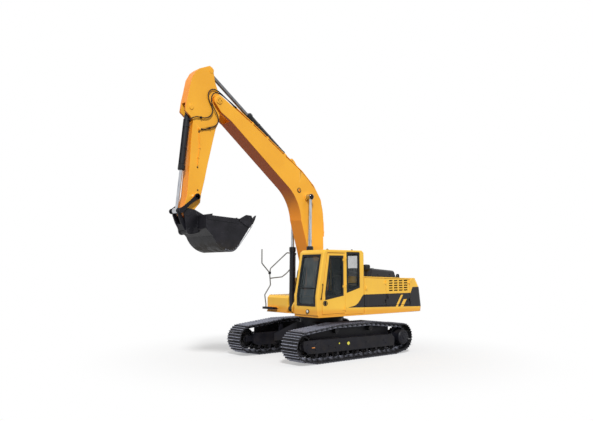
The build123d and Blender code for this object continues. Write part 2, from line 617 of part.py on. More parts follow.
# Engine, radiator and battery as plain blocks behind the doors
ENGINE_LEFT = HOUSE_HALF - 690
ENGINE_RIGHT = HOUSE_HALF - 650
with BuildPart() as engine:
    block((-2060, -1360), (-ENGINE_RIGHT, ENGINE_LEFT), (DECK_TOP + 70, 1980))
    for x in (-1980, -1440):
        for y in (160 - ENGINE_RIGHT, ENGINE_LEFT - 160):
            block((x - 50, x + 50), (y - 50, y + 50), (DECK_TOP, DECK_TOP + 70))
save(engine, "engine_block")
with BuildPart() as radiator:
    block((-2120, -1330), (ENGINE_LEFT + 180, ENGINE_LEFT + 430), (DECK_TOP, 2060))
save(radiator, "radiator_pack")
with BuildPart() as battery:
    block((-900, -420), (BEAM_IN - 480, BEAM_IN - 90), (DECK_TOP, 1520))
save(battery, "battery_box")

# Engine hood: a hollow raised lid, hinged at its rear edge
HOOD_FRONT = -1122
HOOD_REAR = -2224
HOOD_HALF = 895
HOOD_LOW = 8
HOOD_SHEET = 14
HOOD_HINGES = (-620, 620)
HOOD_HINGE_X = DECK_REAR - 4
HOOD_HINGE_Z = COVER_TOP_REAR + HINGE_RADIUS + 2
hood_low_front = cover_z(HOOD_FRONT) + HOOD_LOW
hood_low_rear = cover_z(HOOD_REAR) + HOOD_LOW
with BuildPart() as hood:
    prism([(HOOD_FRONT, hood_low_front), (HOOD_FRONT - 60, 2405), (HOOD_REAR + 90, 2335), (HOOD_REAR, hood_low_rear)],
          -HOOD_HALF, HOOD_HALF)
    top_edges = hood.edges().filter_by(lambda e: abs(e.center().Y) > HOOD_HALF - 1 and e.center().Z > 2345)
    chamfer(top_edges, 45)
    prism([(HOOD_FRONT - HOOD_SHEET, hood_low_front - 2), (HOOD_FRONT - 60 - HOOD_SHEET, 2405 - HOOD_SHEET),
           (HOOD_REAR + 90 + HOOD_SHEET, 2335 - HOOD_SHEET), (HOOD_REAR + HOOD_SHEET, hood_low_rear - 2)],
          -HOOD_HALF + 60, HOOD_HALF - 60, Mode.SUBTRACT)
    for y in HOOD_HINGES:
        block((HOOD_HINGE_X, HOOD_REAR + 12), (y - 30, y + 30), (HOOD_HINGE_Z - 7, HOOD_HINGE_Z + 9))
        disc((HOOD_HINGE_X, HOOD_HINGE_Z), HINGE_RADIUS, y - 30, y + 30)
        disc((HOOD_HINGE_X, HOOD_HINGE_Z), HINGE_PIN + PIN_GAP, y - 30, y + 30, Mode.SUBTRACT)
save(hood, "engine_hood")

# Air pre-cleaner on its stem
with BuildPart() as cleaner:
    with BuildSketch(Plane.XZ) as section:
        with BuildLine():
            Polyline((0, 0), (48, 0), (48, 150), (100, 185), (112, 215), (112, 300), (95, 340), (0, 350), close=True)
        make_face()
    stem = revolve(section.sketch, axis=Axis.Z, mode=Mode.PRIVATE)
    add(Pos(CLEANER[0], CLEANER[1], cover_z(CLEANER[0]) + 6) * stem)
save(cleaner, "air_precleaner")

# Counterweight with two lifting eyes
with BuildPart() as weight:
    prism([(DECK_REAR, DECK_LOW), (DECK_REAR, COVER_TOP_REAR), (-2500, COVER_TOP_REAR), (-2585, 2095),
           (-2745, 1855), (-2830, 1290), (-2800, DECK_LOW)], -HOUSE_HALF, HOUSE_HALF)
    fillet(weight.edges().filter_by(lambda e: abs(e.center().Y) > HOUSE_HALF - 1 and e.center().X < -2600
                                    and e.center().Z > DECK_LOW + 50), 150)
    # fixed knuckles of the hood's hinges
    for y in HOOD_HINGES:
        for low, high in ((y - 61, y - 31), (y + 31, y + 61)):
            block((HOOD_HINGE_X - 50, HOOD_HINGE_X), (low, high), (COVER_TOP_REAR - 5, HOOD_HINGE_Z + 6))
            disc((HOOD_HINGE_X, HOOD_HINGE_Z), HINGE_RADIUS, low, high)
        disc((HOOD_HINGE_X, HOOD_HINGE_Z), HINGE_PIN, y - 61, y + 61)
    # fixed knuckles of the rear side doors
    for low_z in DOOR_HINGES:
        for out in (-1, 1):
            hinge_mount(REAR_HINGE_X, out * HOUSE_HALF, out, 80, low_z)
save(weight, "counterweight")
EYE_X = -2395
EYE_Z = COVER_TOP_REAR + 60
for name, y in (("left", 820), ("right", -820)):
    with BuildPart() as eye:
        prism([(EYE_X - 75, COVER_TOP_REAR), (EYE_X + 75, COVER_TOP_REAR), (EYE_X + 58, EYE_Z),
               (EYE_X - 58, EYE_Z)], y - 20, y + 20)
        disc((EYE_X, EYE_Z), 58, y - 20, y + 20)
        disc((EYE_X, EYE_Z), 28, y - 20, y + 20, Mode.SUBTRACT)
    save(eye, "lifting_eye_" + name)

# Right side: tool box with its step, fuel tank and hydraulic tank
with BuildPart() as toolbox:
    with BuildSketch(side(-CAB_INNER)) as box_side:
        with BuildLine():
            Polyline((30, DECK_TOP), (850, DECK_TOP), (850, 1560), (770, 1635), (30, 1635), close=True)
        make_face()
    extrude(box_side.sketch, amount=HOUSE_HALF - 10 - CAB_INNER)
    block((850, 1000), (-HOUSE_HALF + 20, -HOUSE_HALF + 510), (1255, 1285))
save(toolbox, "tool_box")
with BuildPart() as fuel_tank:
    block((-760, 0), (-HOUSE_HALF + 5, -CAB_INNER), (SKIRT_TOP, 2120))
    block((-760, 0), (-HOUSE_HALF + 70, -CAB_INNER), (DECK_TOP, SKIRT_TOP))
    with Locations((-380, -(HOUSE_HALF + CAB_INNER) / 2, 2145)):
        Cylinder(60, 50)
save(fuel_tank, "fuel_tank")
with BuildPart() as oil_tank:
    block((-1255, -765), (-HOUSE_HALF + 5, -CAB_INNER), (SKIRT_TOP, 2100))
    block((-1255, -765), (-HOUSE_HALF + 70, -CAB_INNER), (DECK_TOP, SKIRT_TOP))
    with Locations((-1010, -(HOUSE_HALF + CAB_INNER) / 2, 2115)):
        Cylinder(90, 30)
save(oil_tank, "hydraulic_tank")

# Handrails on the right front, with the mirror stay
RAIL_Y = 110 - HOUSE_HALF
RAIL_RADIUS = 17
rail_routes = [
    [(985, 1285), (985, 1360), (1030, 1640), (820, 1915), (850, 2270), (1140, 2550), (1140, 2960)],
    [(850, 2270), (820, 2400), (190, 2870), (-60, 2860), (-60, 2120)],
    [(846, 2110), (380, 2150), (200, 2260), (60, 2380), (-60, 2380)],
]
with BuildPart() as rails:
    for route in rail_routes:
        places = [(x, RAIL_Y, z) for x, z in route]
        with BuildLine() as path:
            FilletPolyline(*places, radius=60)
        start = path.line
        with BuildSketch(Plane(origin=start @ 0, z_dir=start % 0)) as tube:
            Circle(RAIL_RADIUS)
        sweep(tube.sketch, path=path.line)
save(rails, "handrails")

# Boom: a bent box girder with a foot hub, ram bosses and a forked tip
FORK_RADIUS = 610
FORK_IN = STICK_HALF + 8
NOSE = 140
FOOT_HUB = 165
CLEVIS_IN = 84
CLEVIS_OUT = 118
GREASE_BOSS = (1042, 4551)
LINE_BLOCK_X = 62
LINE_BLOCK_Y = 120
LINE_BLOCK_Z = 3850
with BuildPart() as boom:
    with BuildSketch(Plane.XZ) as girder:
        with BuildLine():
            Line((300 - FOOT_HUB, 2000), (125, 3035))
            Line((125, 3035), (137, 3672))
            ThreePointArc((137, 3672), (237, 4306), (509, 4691))
            ThreePointArc((509, 4691), (929, 5055), (1337, 5323))
            Line((1337, 5323), (2663, 6168))
            Line((2663, 6168), (3590, 6710))
            Line((3590, 6710), (3835, 6560))
            Line((3835, 6560), (3640, 6320))
            Line((3640, 6320), (3315, 6128))
            Line((3315, 6128), (1520, 4690))
            ThreePointArc((1520, 4690), (1130, 4270), (960, 3720))
            Line((960, 3720), (743, 3019))
            Line((743, 3019), (300 + FOOT_HUB, 2000))
            Line((300 + FOOT_HUB, 2000), (300 - FOOT_HUB, 2000))
        make_face()
    extrude(girder.sketch, amount=BOOM_HALF, both=True)
    disc(BOOM_FOOT, FOOT_HUB, -BOOM_HALF, BOOM_HALF)
    disc(BOOM_TIP, NOSE, -BOOM_HALF, BOOM_HALF)
    disc(BOOM_TIP, FORK_RADIUS, -FORK_IN, FORK_IN, Mode.SUBTRACT)
    disc(BOOM_FOOT, 55 + PIN_GAP, -BOOM_HALF, BOOM_HALF, Mode.SUBTRACT)
    for out in (-1, 1):
        disc(BOOM_RAM_EYE, 110, *sorted((out * BOOM_HALF, out * (BOOM_HALF + 32))))
        disc(BOOM_TIP, 95, *sorted((out * BOOM_HALF, out * (BOOM_HALF + 18))))
        prism([(1010, 5050), (1060, 5330), (1145, 5415), (1255, 5415), (1330, 5300)],
              *sorted((out * CLEVIS_IN, out * CLEVIS_OUT)))
        # blocks on the boom's back where the stick ram's hoses start
        middle = out * LINE_BLOCK_Y
        block((LINE_BLOCK_X, 150), (middle - 26, middle + 26), (LINE_BLOCK_Z - 80, LINE_BLOCK_Z))
        disc(GREASE_BOSS, 46, *sorted((out * BOOM_HALF, out * (BOOM_HALF + 14))))
        disc(GREASE_BOSS, 24, *sorted((out * (BOOM_HALF - 30), out * (BOOM_HALF + 14))), Mode.SUBTRACT)
        disc(STICK_RAM_BASE, 84, *sorted((out * CLEVIS_IN, out * CLEVIS_OUT)))
        disc(STICK_RAM_BASE, 40 + PIN_GAP, *sorted((out * CLEVIS_IN, out * CLEVIS_OUT)), Mode.SUBTRACT)
    disc(BOOM_TIP, 50, -FORK_IN, FORK_IN)
save(boom, "boom")

# Boom pipes: two steel lines along each top edge, held by clamps
with BuildPart() as pipes:
    for y in (-212, -176, 176, 212):
        places = [(95, y, 3300), (105, y, 3690), (210, y, 4330), (485, y, 4730), (915, y, 5100),
                  (1325, y, 5365), (2645, y, 6205), (3150, y, 6510)]
        with BuildLine() as path:
            FilletPolyline(*places, radius=160)
        with BuildSketch(Plane(origin=path.line @ 0, z_dir=path.line % 0)) as tube:
            Circle(15)
        sweep(tube.sketch, path=path.line)
    for start, end in (((105, 3400), (105, 3460)), ((1500, 5475), (1560, 5513)), ((2100, 5857), (2160, 5895)),
                       ((2600, 6175), (2650, 6207))):
        run = hypot(end[0] - start[0], end[1] - start[1])
        for low, high in ((-232, -156), (156, 232)):
            prism([along(start, end, 0, 20), along(start, end, run, 20), along(start, end, run, -48),
                   along(start, end, 0, -48)], low, high)
    add(boom.part, mode=Mode.SUBTRACT)
save(pipes, "boom_pipes")

JOINT_BLOCK_X = 4190
JOINT_BLOCK_Z = 5815

# Stick: a tapered box with a clevis for its ram at the head, a slot for the bucket ram and a tip boss
with BuildPart() as stick:
    with BuildSketch(Plane.XZ) as arm:
        with BuildLine():
            Polyline((4614, 6219), (4577, 6474), (4499, 6812), (4447, 7049), (4337, 7248), (4223, 7349),
                     (3933, 7476), (3850, 7440), (3800, 7254), (3770, 7083), (3701, 6917), (3560, 6650),
                     (3570, 6480), (3625, 6261), (3667, 6023), (3726, 5911), (3838, 5463), (3962, 4944),
                     (4043, 4562), (4138, 4183), (4160, 3990), (4440, 3680), (4620, 3720), (4610, 3860),
                     (4530, 4152), (4500, 4519), (4462, 5012), (4442, 5506), (4395, 6009), (4480, 6105), close=True)
        make_face()
    extrude(arm.sketch, amount=STICK_HALF, both=True)
    disc(BUCKET_PIVOT, 105, -STICK_HALF, STICK_HALF)
    disc(BOOM_TIP, 150, -STICK_HALF, STICK_HALF)
    disc(BOOM_TIP, 50 + PIN_GAP, -STICK_HALF, STICK_HALF, Mode.SUBTRACT)
    prism([(3500, 7000), (4370, 7000), (4270, 7215), (4185, 7330), (4230, 7600), (3500, 7600)], -62, 62, Mode.SUBTRACT)
    prism([(4345, 6100), (4345, 6430), (4520, 6430), (4700, 6430), (4700, 5900), (4395, 6009)], -80, 80, Mode.SUBTRACT)
    disc(BUCKET_RAM_BASE, 45, -80, 80)
    disc(BUCKET_PIVOT, 45 + PIN_GAP, -STICK_HALF, STICK_HALF, Mode.SUBTRACT)
    for out in (-1, 1):
        disc(LEVER_PIVOT, 70, *sorted((out * STICK_HALF, out * (STICK_HALF + 60))))
        disc(LEVER_PIVOT, 45, *sorted((out * STICK_HALF, out * 254)))
        disc(LEVER_PIVOT, 62, *sorted((out * 251, out * 262)))
        disc(STICK_RAM_EYE, 68, *sorted((out * STICK_HALF, out * (STICK_HALF + 6))))
        disc(BUCKET_RAM_BASE, 62, *sorted((out * STICK_HALF, out * (STICK_HALF + 14))))
    # block where the stick's hose meets its steel line
    block((JOINT_BLOCK_X, JOINT_BLOCK_X + 60), (STICK_HALF, STICK_HALF + 42),
          (JOINT_BLOCK_Z - 30, JOINT_BLOCK_Z + 30))
save(stick, "stick")


def ram_barrel(base, eye, length, radius, y_mid, eye_half, bore, gland=120):
    """A ram's tube: base eye, tube and gland, bored for its rod."""
    disc(base, radius + 3, y_mid - eye_half, y_mid + eye_half)
    reach = hypot(eye[0] - base[0], eye[1] - base[1])
    pointing = Vector((eye[0] - base[0]) / reach, 0, (eye[1] - base[1]) / reach)
    foot = Vector(base[0], y_mid, base[1])
    with BuildSketch(Plane(origin=foot + pointing * (radius * 0.6), z_dir=pointing)) as tube:
        Circle(radius)
    extrude(tube.sketch, amount=length - radius * 0.6)
    with BuildSketch(Plane(origin=foot + pointing * (length - gland), z_dir=pointing)) as head:
        Circle(radius + 13)
    extrude(head.sketch, amount=gland)
    with BuildSketch(Plane(origin=foot + pointing * (length + 1), z_dir=pointing)) as hole:
        Circle(bore + PIN_GAP)
    extrude(hole.sketch, amount=-(length + 1 - radius * 1.6 - 20), mode=Mode.SUBTRACT)


def ram_rod(base, eye, radius, y_mid, eye_radius, y_low, y_high, inside):
    """A ram's rod: an eye at its end and a bar that reaches back into the tube."""
    disc(eye, eye_radius, y_low, y_high)
    reach = hypot(eye[0] - base[0], eye[1] - base[1])
    pointing = Vector((base[0] - eye[0]) / reach, 0, (base[1] - eye[1]) / reach)
    tip = Vector(eye[0], y_mid, eye[1])
    with BuildSketch(Plane(origin=tip + pointing * (eye_radius * 0.5), z_dir=pointing)) as bar:
        Circle(radius)
    extrude(bar.sketch, amount=reach - eye_radius * 0.5 - inside)


# Boom rams, one each side of the boom
for name, out in (("left", 1), ("right", -1)):
    with BuildPart() as barrel:
        ram_barrel(BOOM_RAM_BASE, BOOM_RAM_EYE, 1715, 75, out * RAM_Y, 70, 47)
        disc(BOOM_RAM_BASE, 45 + PIN_GAP, out * RAM_Y - 80, out * RAM_Y + 80, Mode.SUBTRACT)
    save(barrel, "boom_ram_barrel_" + name)
    with BuildPart() as rod:
        y_span = sorted((out * (BOOM_HALF + 40), out * 425))
        ram_rod(BOOM_RAM_BASE, BOOM_RAM_EYE, 47, out * RAM_Y, 82, *y_span, 1500)
    save(rod, "boom_ram_rod_" + name)

# Stick ram on top of the boom
with BuildPart() as stick_barrel:
    ram_barrel(STICK_RAM_BASE, STICK_RAM_EYE, 1805, 76, 0, 78, 50)
    disc(STICK_RAM_BASE, 40, -CLEVIS_OUT, CLEVIS_OUT)
save(stick_barrel, "stick_ram_barrel")
with BuildPart() as stick_rod:
    ram_rod(STICK_RAM_BASE, STICK_RAM_EYE, 50, 0, 88, -55, 55, 1500)
    disc(STICK_RAM_EYE, 45, -61, 61)
save(stick_rod, "stick_ram_rod")

# Bucket ram in front of the stick, with a port for its hose
BUCKET_PORT = (4484, 6016)
PORT_END = 104
with BuildPart() as bucket_barrel:
    ram_barrel(BUCKET_RAM_BASE, BUCKET_RAM_EYE, 1560, 66, 0, 55, 42)
    disc(BUCKET_RAM_BASE, 45 + PIN_GAP, -70, 70, Mode.SUBTRACT)
    disc(BUCKET_PORT, 20, 55, PORT_END)
save(bucket_barrel, "bucket_ram_barrel")
with BuildPart() as bucket_rod:
    ram_rod(BUCKET_RAM_BASE, BUCKET_RAM_EYE, 42, 0, 72, -90, 90, 1250)
save(bucket_rod, "bucket_ram_rod")

# Levers from the stick to the bucket ram's eye
with BuildPart() as levers:
    for out in (-1, 1):
        y_span = sorted((out * 217, out * 250))
        prism([along(LEVER_PIVOT, BUCKET_RAM_EYE, 0, 60), along(LEVER_PIVOT, BUCKET_RAM_EYE, 250, 38),
               along(LEVER_PIVOT, BUCKET_RAM_EYE, 555, 50), along(LEVER_PIVOT, BUCKET_RAM_EYE, 555, -50),
               along(LEVER_PIVOT, BUCKET_RAM_EYE, 250, -38), along(LEVER_PIVOT, BUCKET_RAM_EYE, 0, -60)], *y_span)
        disc(LEVER_PIVOT, 75, *y_span)
        disc(BUCKET_RAM_EYE, 65, *y_span)
        disc(LEVER_PIVOT, 45 + PIN_GAP, *y_span, Mode.SUBTRACT)
save(levers, "bucket_levers")

# Link from the ram's eye to the bucket
with BuildPart() as link:
    link_length = hypot(BUCKET_RAM_EYE[0] - LINK_PIVOT[0], BUCKET_RAM_EYE[1] - LINK_PIVOT[1])
    # columns: distance from the bucket's pin towards the ram's eye, offset to the stick's side
    link_edge = [(-20, 40), (70, 20), (270, -10), (470, 10), (link_length + 10, 40), (link_length + 30, 0),
                 (link_length + 20, -45), (450, -80), (270, -100), (90, -90), (-40, -50)]
    plate_points = [along(LINK_PIVOT, BUCKET_RAM_EYE, distance, offset) for distance, offset in link_edge]
    for out in (-1, 1):
        y_span = sorted((out * 105, out * 150))
        prism(plate_points, *y_span)
        disc(BUCKET_RAM_EYE, 58, *y_span)
        disc(BUCKET_RAM_EYE, 38, *sorted((out * 150, out * 212)))
    disc(LINK_PIVOT, 78, -150, 150)
    prism([along(LINK_PIVOT, BUCKET_RAM_EYE, 60, 10), along(LINK_PIVOT, BUCKET_RAM_EYE, 230, -5),
           along(LINK_PIVOT, BUCKET_RAM_EYE, 230, -90), along(LINK_PIVOT, BUCKET_RAM_EYE, 60, -85)], -105, 105)
    disc(LINK_PIVOT, 45 + PIN_GAP, -150, 150, Mode.SUBTRACT)
save(link, "bucket_link")

# Bucket: a curved shell with side plates, torque box, ears, lip, side cutters and five teeth
BUCKET_HALF = 600
SHELL = 24
LIP = (2880, 3575)
lip_x = -0.58
lip_z = 0.815
with BuildPart() as bucket:
    with BuildSketch(Plane.XZ) as profile:
        with BuildLine():
            Line((2862, 3598), (4250, 3668))
            Line((4250, 3668), (4268, 3345))
            Line((4268, 3345), (4090, 3180))
            ThreePointArc((4090, 3180), (3890, 2925), (3560, 2795))
            ThreePointArc((3560, 2795), (3420, 2840), (3320, 2960))
            Line((3320, 2960), (2862, 3598))
        make_face()
    extrude(profile.sketch, amount=BUCKET_HALF, both=True)
    hollow = offset(profile.sketch, amount=-SHELL, mode=Mode.PRIVATE)
    extrude(hollow, amount=BUCKET_HALF - SHELL, both=True, mode=Mode.SUBTRACT)
    prism([(2930, 3545), (4222, 3610), (4222, 3760), (2900, 3720)], -BUCKET_HALF + SHELL, BUCKET_HALF - SHELL,
          Mode.SUBTRACT)
    # torque box along the back of the mouth
    prism([(4262, 3672), (4088, 3704), (4100, 3600), (4262, 3450)], -BUCKET_HALF, BUCKET_HALF)
    # thick lip plate and teeth
    prism([along(LIP, (LIP[0] + lip_x, LIP[1] + lip_z), -190, 22), along(LIP, (LIP[0] + lip_x, LIP[1] + lip_z), 20, 16),
           along(LIP, (LIP[0] + lip_x, LIP[1] + lip_z), 20, -24), along(LIP, (LIP[0] + lip_x, LIP[1] + lip_z), -190, -24)],
          -BUCKET_HALF, BUCKET_HALF)
    for i in range(5):
        y = (i - 2) * (BUCKET_HALF - 55) / 2
        root = Plane(origin=(LIP[0] - 70 * lip_x, y, LIP[1] - 70 * lip_z), x_dir=(0, 1, 0), z_dir=(lip_x, 0, lip_z))
        with BuildSketch(root) as shank:
            Rectangle(96, 84)
        with BuildSketch(root.offset(120)) as middle:
            Rectangle(88, 62)
        with BuildSketch(root.offset(255)) as point:
            Rectangle(66, 12)
        loft([shank.sketch.faces()[0], middle.sketch.faces()[0]], ruled=True)
        loft([middle.sketch.faces()[0], point.sketch.faces()[0]], ruled=True)
    for out in (-1, 1):
        # rim strip, side cutter and ears
        prism([(4240, 3666), (3330, 3612), (3330, 3500), (4210, 3555)],
              *sorted((out * BUCKET_HALF, out * (BUCKET_HALF + 12))))
        prism([(3340, 3600), (3110, 3722), (2950, 3712), (2885, 3570), (3010, 3400), (3200, 3500)],
              *sorted((out * (BUCKET_HALF - 2), out * (BUCKET_HALF + 22))))
        ear = sorted((out * 160, out * 205))
        prism([(4346, 3812), (4520, 3832), (4634, 3720), (4555, 3280), (4466, 3206), (4390, 3215), (4200, 3270),
               (4235, 3500), (4092, 3700)], *ear)
        disc(BUCKET_PIVOT, 105, *ear)
        disc(LINK_PIVOT, 90, *ear)
        disc(BUCKET_PIVOT, 82, *sorted((out * 205, out * 214)))
        disc(LINK_PIVOT, 62, *sorted((out * 205, out * 214)))
    disc(BUCKET_PIVOT, 45, -205, 205)
    disc(LINK_PIVOT, 45, -205, 205)
save(bucket, "bucket")


def hose(route, radius, name):
    """A hose along straight runs, joined by arcs as large as the runs on both sides allow."""
    spots = [Vector(*spot) for spot in route]
    bends = []
    for before, corner, after in zip(spots, spots[1:], spots[2:]):
        turn = radians((corner - before).get_angle(after - corner))
        bends.append(0.45 * min((corner - before).length, (after - corner).length) / tan(turn / 2))
    print(name, "bend radii", [round(bend) for bend in bends])
    with BuildLine() as path:
        FilletPolyline(*route, radius=bends)
    with BuildSketch(Plane(origin=path.line @ 0, z_dir=path.line % 0)) as tube:
        Circle(radius)
    sweep(tube.sketch, path=path.line)


# Hoses over the joint of boom and stick: one to the bucket ram, one to the stick's steel line
HOSE_RADIUS = 14
bucket_hose_route = [
    (3150.9, 176, 6510.6), (3294, 178, 6612), (3445, 180, 6708), (3598, 181, 6806), (3745, 182, 6880), (3885, 183, 6880),
    (3985, 184, 6785), (3996, 184, 6655), (3942, 184, 6532), (3872, 184, 6425), (3852, 184, 6305), (3905, 184, 6192),
    (4010, 184, 6120), (4130, 184, 6098), (4250, 184, 6106), (4345, 188, 6098), (4418, 188, 6066), (4468, 166, 6030),
    (4484, 134, 6016.5), (4484, PORT_END + 0.8, 6016),
]
with BuildPart() as bucket_hose:
    hose(bucket_hose_route, HOSE_RADIUS, "bucket hose")
save(bucket_hose, "bucket_hose")
stick_hose_route = [
    (3150.9, 212, 6510.6), (3285, 214, 6594), (3425, 215, 6670), (3565, 216, 6744), (3700, 217, 6800), (3818, 218, 6790),
    (3900, 218, 6710), (3924, 218, 6600), (3896, 218, 6486), (3835, 218, 6385), (3765, 214, 6288), (3706, 207, 6188),
    (3688, 200, 6080), (3735, 192, 5982), (3825, 184, 5916), (3930, 176, 5872), (4030, 172, 5838), (4115, 171, 5820),
    (JOINT_BLOCK_X - 1.2, 171, JOINT_BLOCK_Z),
]
with BuildPart() as stick_hose:
    hose(stick_hose_route, HOSE_RADIUS, "stick hose")
save(stick_hose, "stick_hose")

# Hoses over the boom's bend to the base of the stick ram
ram_hose_side = [
    (LINE_BLOCK_X + 30, LINE_BLOCK_Y, LINE_BLOCK_Z + 1.1), (86, 121, 3930), (84, 123, 4032), (102, 125, 4172),
    (150, 127, 4325), (232, 128, 4478), (340, 127, 4616), (460, 124, 4738), (588, 118, 4848), (714, 106, 4954),
    (828, 88, 5060), (920, 66, 5166), (968, 56, 5252), (1022, 51, 5318), (1078, 50, 5346),
    (1120.2, 50, 5349.8),
]
with BuildPart() as ram_hoses:
    for out in (-1, 1):
        hose([(x, out * y, z) for x, y, z in ram_hose_side], HOSE_RADIUS, "stick ram hose")
save(ram_hoses, "stick_ram_hoses")
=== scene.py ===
"""Crawler excavator: its looks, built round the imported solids. Metres, X forward, Y left, Z up."""

import json
from math import acos, atan2, cos, hypot, pi, radians, sin

import bmesh
import bpy
from mathutils import Matrix, Vector


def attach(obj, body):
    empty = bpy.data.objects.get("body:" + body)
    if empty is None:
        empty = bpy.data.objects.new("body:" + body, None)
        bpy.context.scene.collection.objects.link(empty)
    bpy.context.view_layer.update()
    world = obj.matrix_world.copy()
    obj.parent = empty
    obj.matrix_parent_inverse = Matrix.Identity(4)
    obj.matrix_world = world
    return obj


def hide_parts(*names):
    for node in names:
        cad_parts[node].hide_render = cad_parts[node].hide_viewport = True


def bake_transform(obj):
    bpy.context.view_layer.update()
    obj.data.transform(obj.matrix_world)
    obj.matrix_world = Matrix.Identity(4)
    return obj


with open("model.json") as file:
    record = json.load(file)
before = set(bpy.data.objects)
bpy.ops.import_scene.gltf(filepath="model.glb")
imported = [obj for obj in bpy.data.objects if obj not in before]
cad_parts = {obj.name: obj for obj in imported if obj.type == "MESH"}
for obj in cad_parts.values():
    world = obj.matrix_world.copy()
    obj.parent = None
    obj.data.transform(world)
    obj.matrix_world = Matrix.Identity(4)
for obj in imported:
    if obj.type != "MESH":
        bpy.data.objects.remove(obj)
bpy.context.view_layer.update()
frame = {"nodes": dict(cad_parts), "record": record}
body_of = {node: body for body, nodes in frame["record"]["behaviour"]["bodies"].items() for node in nodes}
slot_of = {part["node"]: part["material_slot"] for part in frame["record"]["subparts"]}

# Places that the solids also use
TRACK_Y = 1.19
HOUSE_SIDE = 1.41
PUMP_LATCH_X = -1.37
CAB_MIDDLE = 0.945
BOOM_TIP = (3.700, 6.608)
BOOM_RAM_BASE = (0.780, 1.265)
BOOM_RAM_EYE = (0.740, 4.378)
STICK_RAM_BASE = (1.200, 5.350)
STICK_RAM_EYE = (3.880, 7.360)
BUCKET_RAM_BASE = (4.450, 6.330)
BUCKET_RAM_EYE = (4.725, 3.770)
LEVER_PIVOT = (4.298, 4.125)
HOUSE_RISE = 0.0247
door_window = [(0.510, 1.690), (1.162, 1.590), (1.167, 1.760), (1.010, 2.730), (0.510, 2.730)]


class Number:
    """A value in a node tree. Arithmetic on it adds the Math nodes."""

    def __init__(self, look, socket):
        self.look = look
        self.socket = socket

    def __add__(self, other):
        return self.look.math("ADD", self, other)

    def __radd__(self, other):
        return self.look.math("ADD", other, self)

    def __sub__(self, other):
        return self.look.math("SUBTRACT", self, other)

    def __rsub__(self, other):
        return self.look.math("SUBTRACT", other, self)

    def __mul__(self, other):
        return self.look.math("MULTIPLY", self, other)

    def __rmul__(self, other):
        return self.look.math("MULTIPLY", other, self)

    def __truediv__(self, other):
        return self.look.math("DIVIDE", self, other)

    def over(self, low, high):
        """0 below low and 1 above high, with a soft step between."""
        step = self.look.node("ShaderNodeMapRange", {"interpolation_type": "SMOOTHSTEP"},
                              {0: self, 1: low, 2: high})
        return Number(self.look, step.outputs[0])

    def past(self, half=0.002):
        """0 below nought and 1 above it, for a clean painted line."""
        return self.over(-half, half)

    def size(self):
        return self.look.math("ABSOLUTE", self)


class Look:
    """The node tree of a material or of the world, with the one way in which its nodes are made."""

    def __init__(self, owner):
        owner.use_nodes = True
        self.owner = owner
        self.tree = owner.node_tree
        self.tree.nodes.clear()
        self.object_place = None

    def node(self, kind, settings=None, inputs=None):
        made = self.tree.nodes.new(kind)
        for name, value in (settings or {}).items():
            setattr(made, name, value)
        for name, value in (inputs or {}).items():
            source = value.socket if isinstance(value, Number) else value
            if isinstance(source, bpy.types.NodeSocket):
                self.tree.links.new(source, made.inputs[name])
            else:
                made.inputs[name].default_value = source
        return made

    def math(self, operation, *values):
        made = self.node("ShaderNodeMath", {"operation": operation}, dict(enumerate(values)))
        return Number(self, made.outputs[0])

    def place(self):
        """Where a point is on the object, at rest in the row frame."""
        if self.object_place is None:
            self.object_place = self.node("ShaderNodeTexCoord").outputs["Object"]
        return self.object_place

    def axes(self):
        parts = self.node("ShaderNodeSeparateXYZ", None, {0: self.place()})
        return [Number(self, part) for part in parts.outputs]

    def noise(self, scale, detail=3.0, stretch=(1, 1, 1)):
        spread = self.node("ShaderNodeMapping", None, {"Vector": self.place(), "Scale": stretch})
        made = self.node("ShaderNodeTexNoise", None,
                         {"Vector": spread.outputs[0], "Scale": scale, "Detail": detail})
        return Number(self, made.outputs[0])

    def facing(self, axis):
        """How far a face looks along X, Y or Z, in the pose at rest."""
        normal = self.node("ShaderNodeTexCoord").outputs["Normal"]
        parts = self.node("ShaderNodeSeparateXYZ", None, {0: normal})
        return Number(self, parts.outputs[axis])

    def facing_up(self):
        return self.facing(2)

    def edges(self, width):
        """1 along the edges and 0 on the flats."""
        plain = self.node("ShaderNodeNewGeometry").outputs["Normal"]
        rounded = self.node("ShaderNodeBevel", {"samples": 4}, {"Radius": width}).outputs[0]
        same = self.node("ShaderNodeVectorMath", {"operation": "DOT_PRODUCT"}, {0: plain, 1: rounded})
        return (1 - Number(self, same.outputs["Value"])).over(0.02, 0.25)

    def mix(self, factor, first, second):
        made = self.node("ShaderNodeMix", {"data_type": "RGBA"}, {0: factor, 6: first, 7: second})
        return made.outputs[2]

    def surface(self, base, roughness, metallic=0.0, bump=None, height=0.001, extra=None):
        inputs = {"Base Color": base, "Roughness": roughness, "Metallic": metallic}
        if bump is not None:
            bumps = {"Strength": 0.5, "Distance": height, "Height": bump}
            inputs["Normal"] = self.node("ShaderNodeBump", None, bumps).outputs[0]
        inputs.update(extra or {})
        shader = self.node("ShaderNodeBsdfPrincipled", None, inputs)
        self.node("ShaderNodeOutputMaterial", None, {"Surface": shader.outputs[0]})
        return self.owner


def colour(red, green, blue, lightness=1.0):
    """A colour given in screen values from 0 to 255."""
    parts = []
    for value in (red, green, blue):
        share = value / 255
        linear = share / 12.92 if share <= 0.04045 else ((share + 0.055) / 1.055) ** 2.4
        parts.append(min(1.0, linear * lightness))
    return (*parts, 1.0)


def new_look(name):
    return Look(bpy.data.materials.new(name))


# Materials

HOUSE_ORANGE = (255, 198, 72)
ARM_ORANGE = (255, 182, 58)
BLACK_PAINT = (20, 20, 24)
DARK_PAINT = (17, 17, 24)


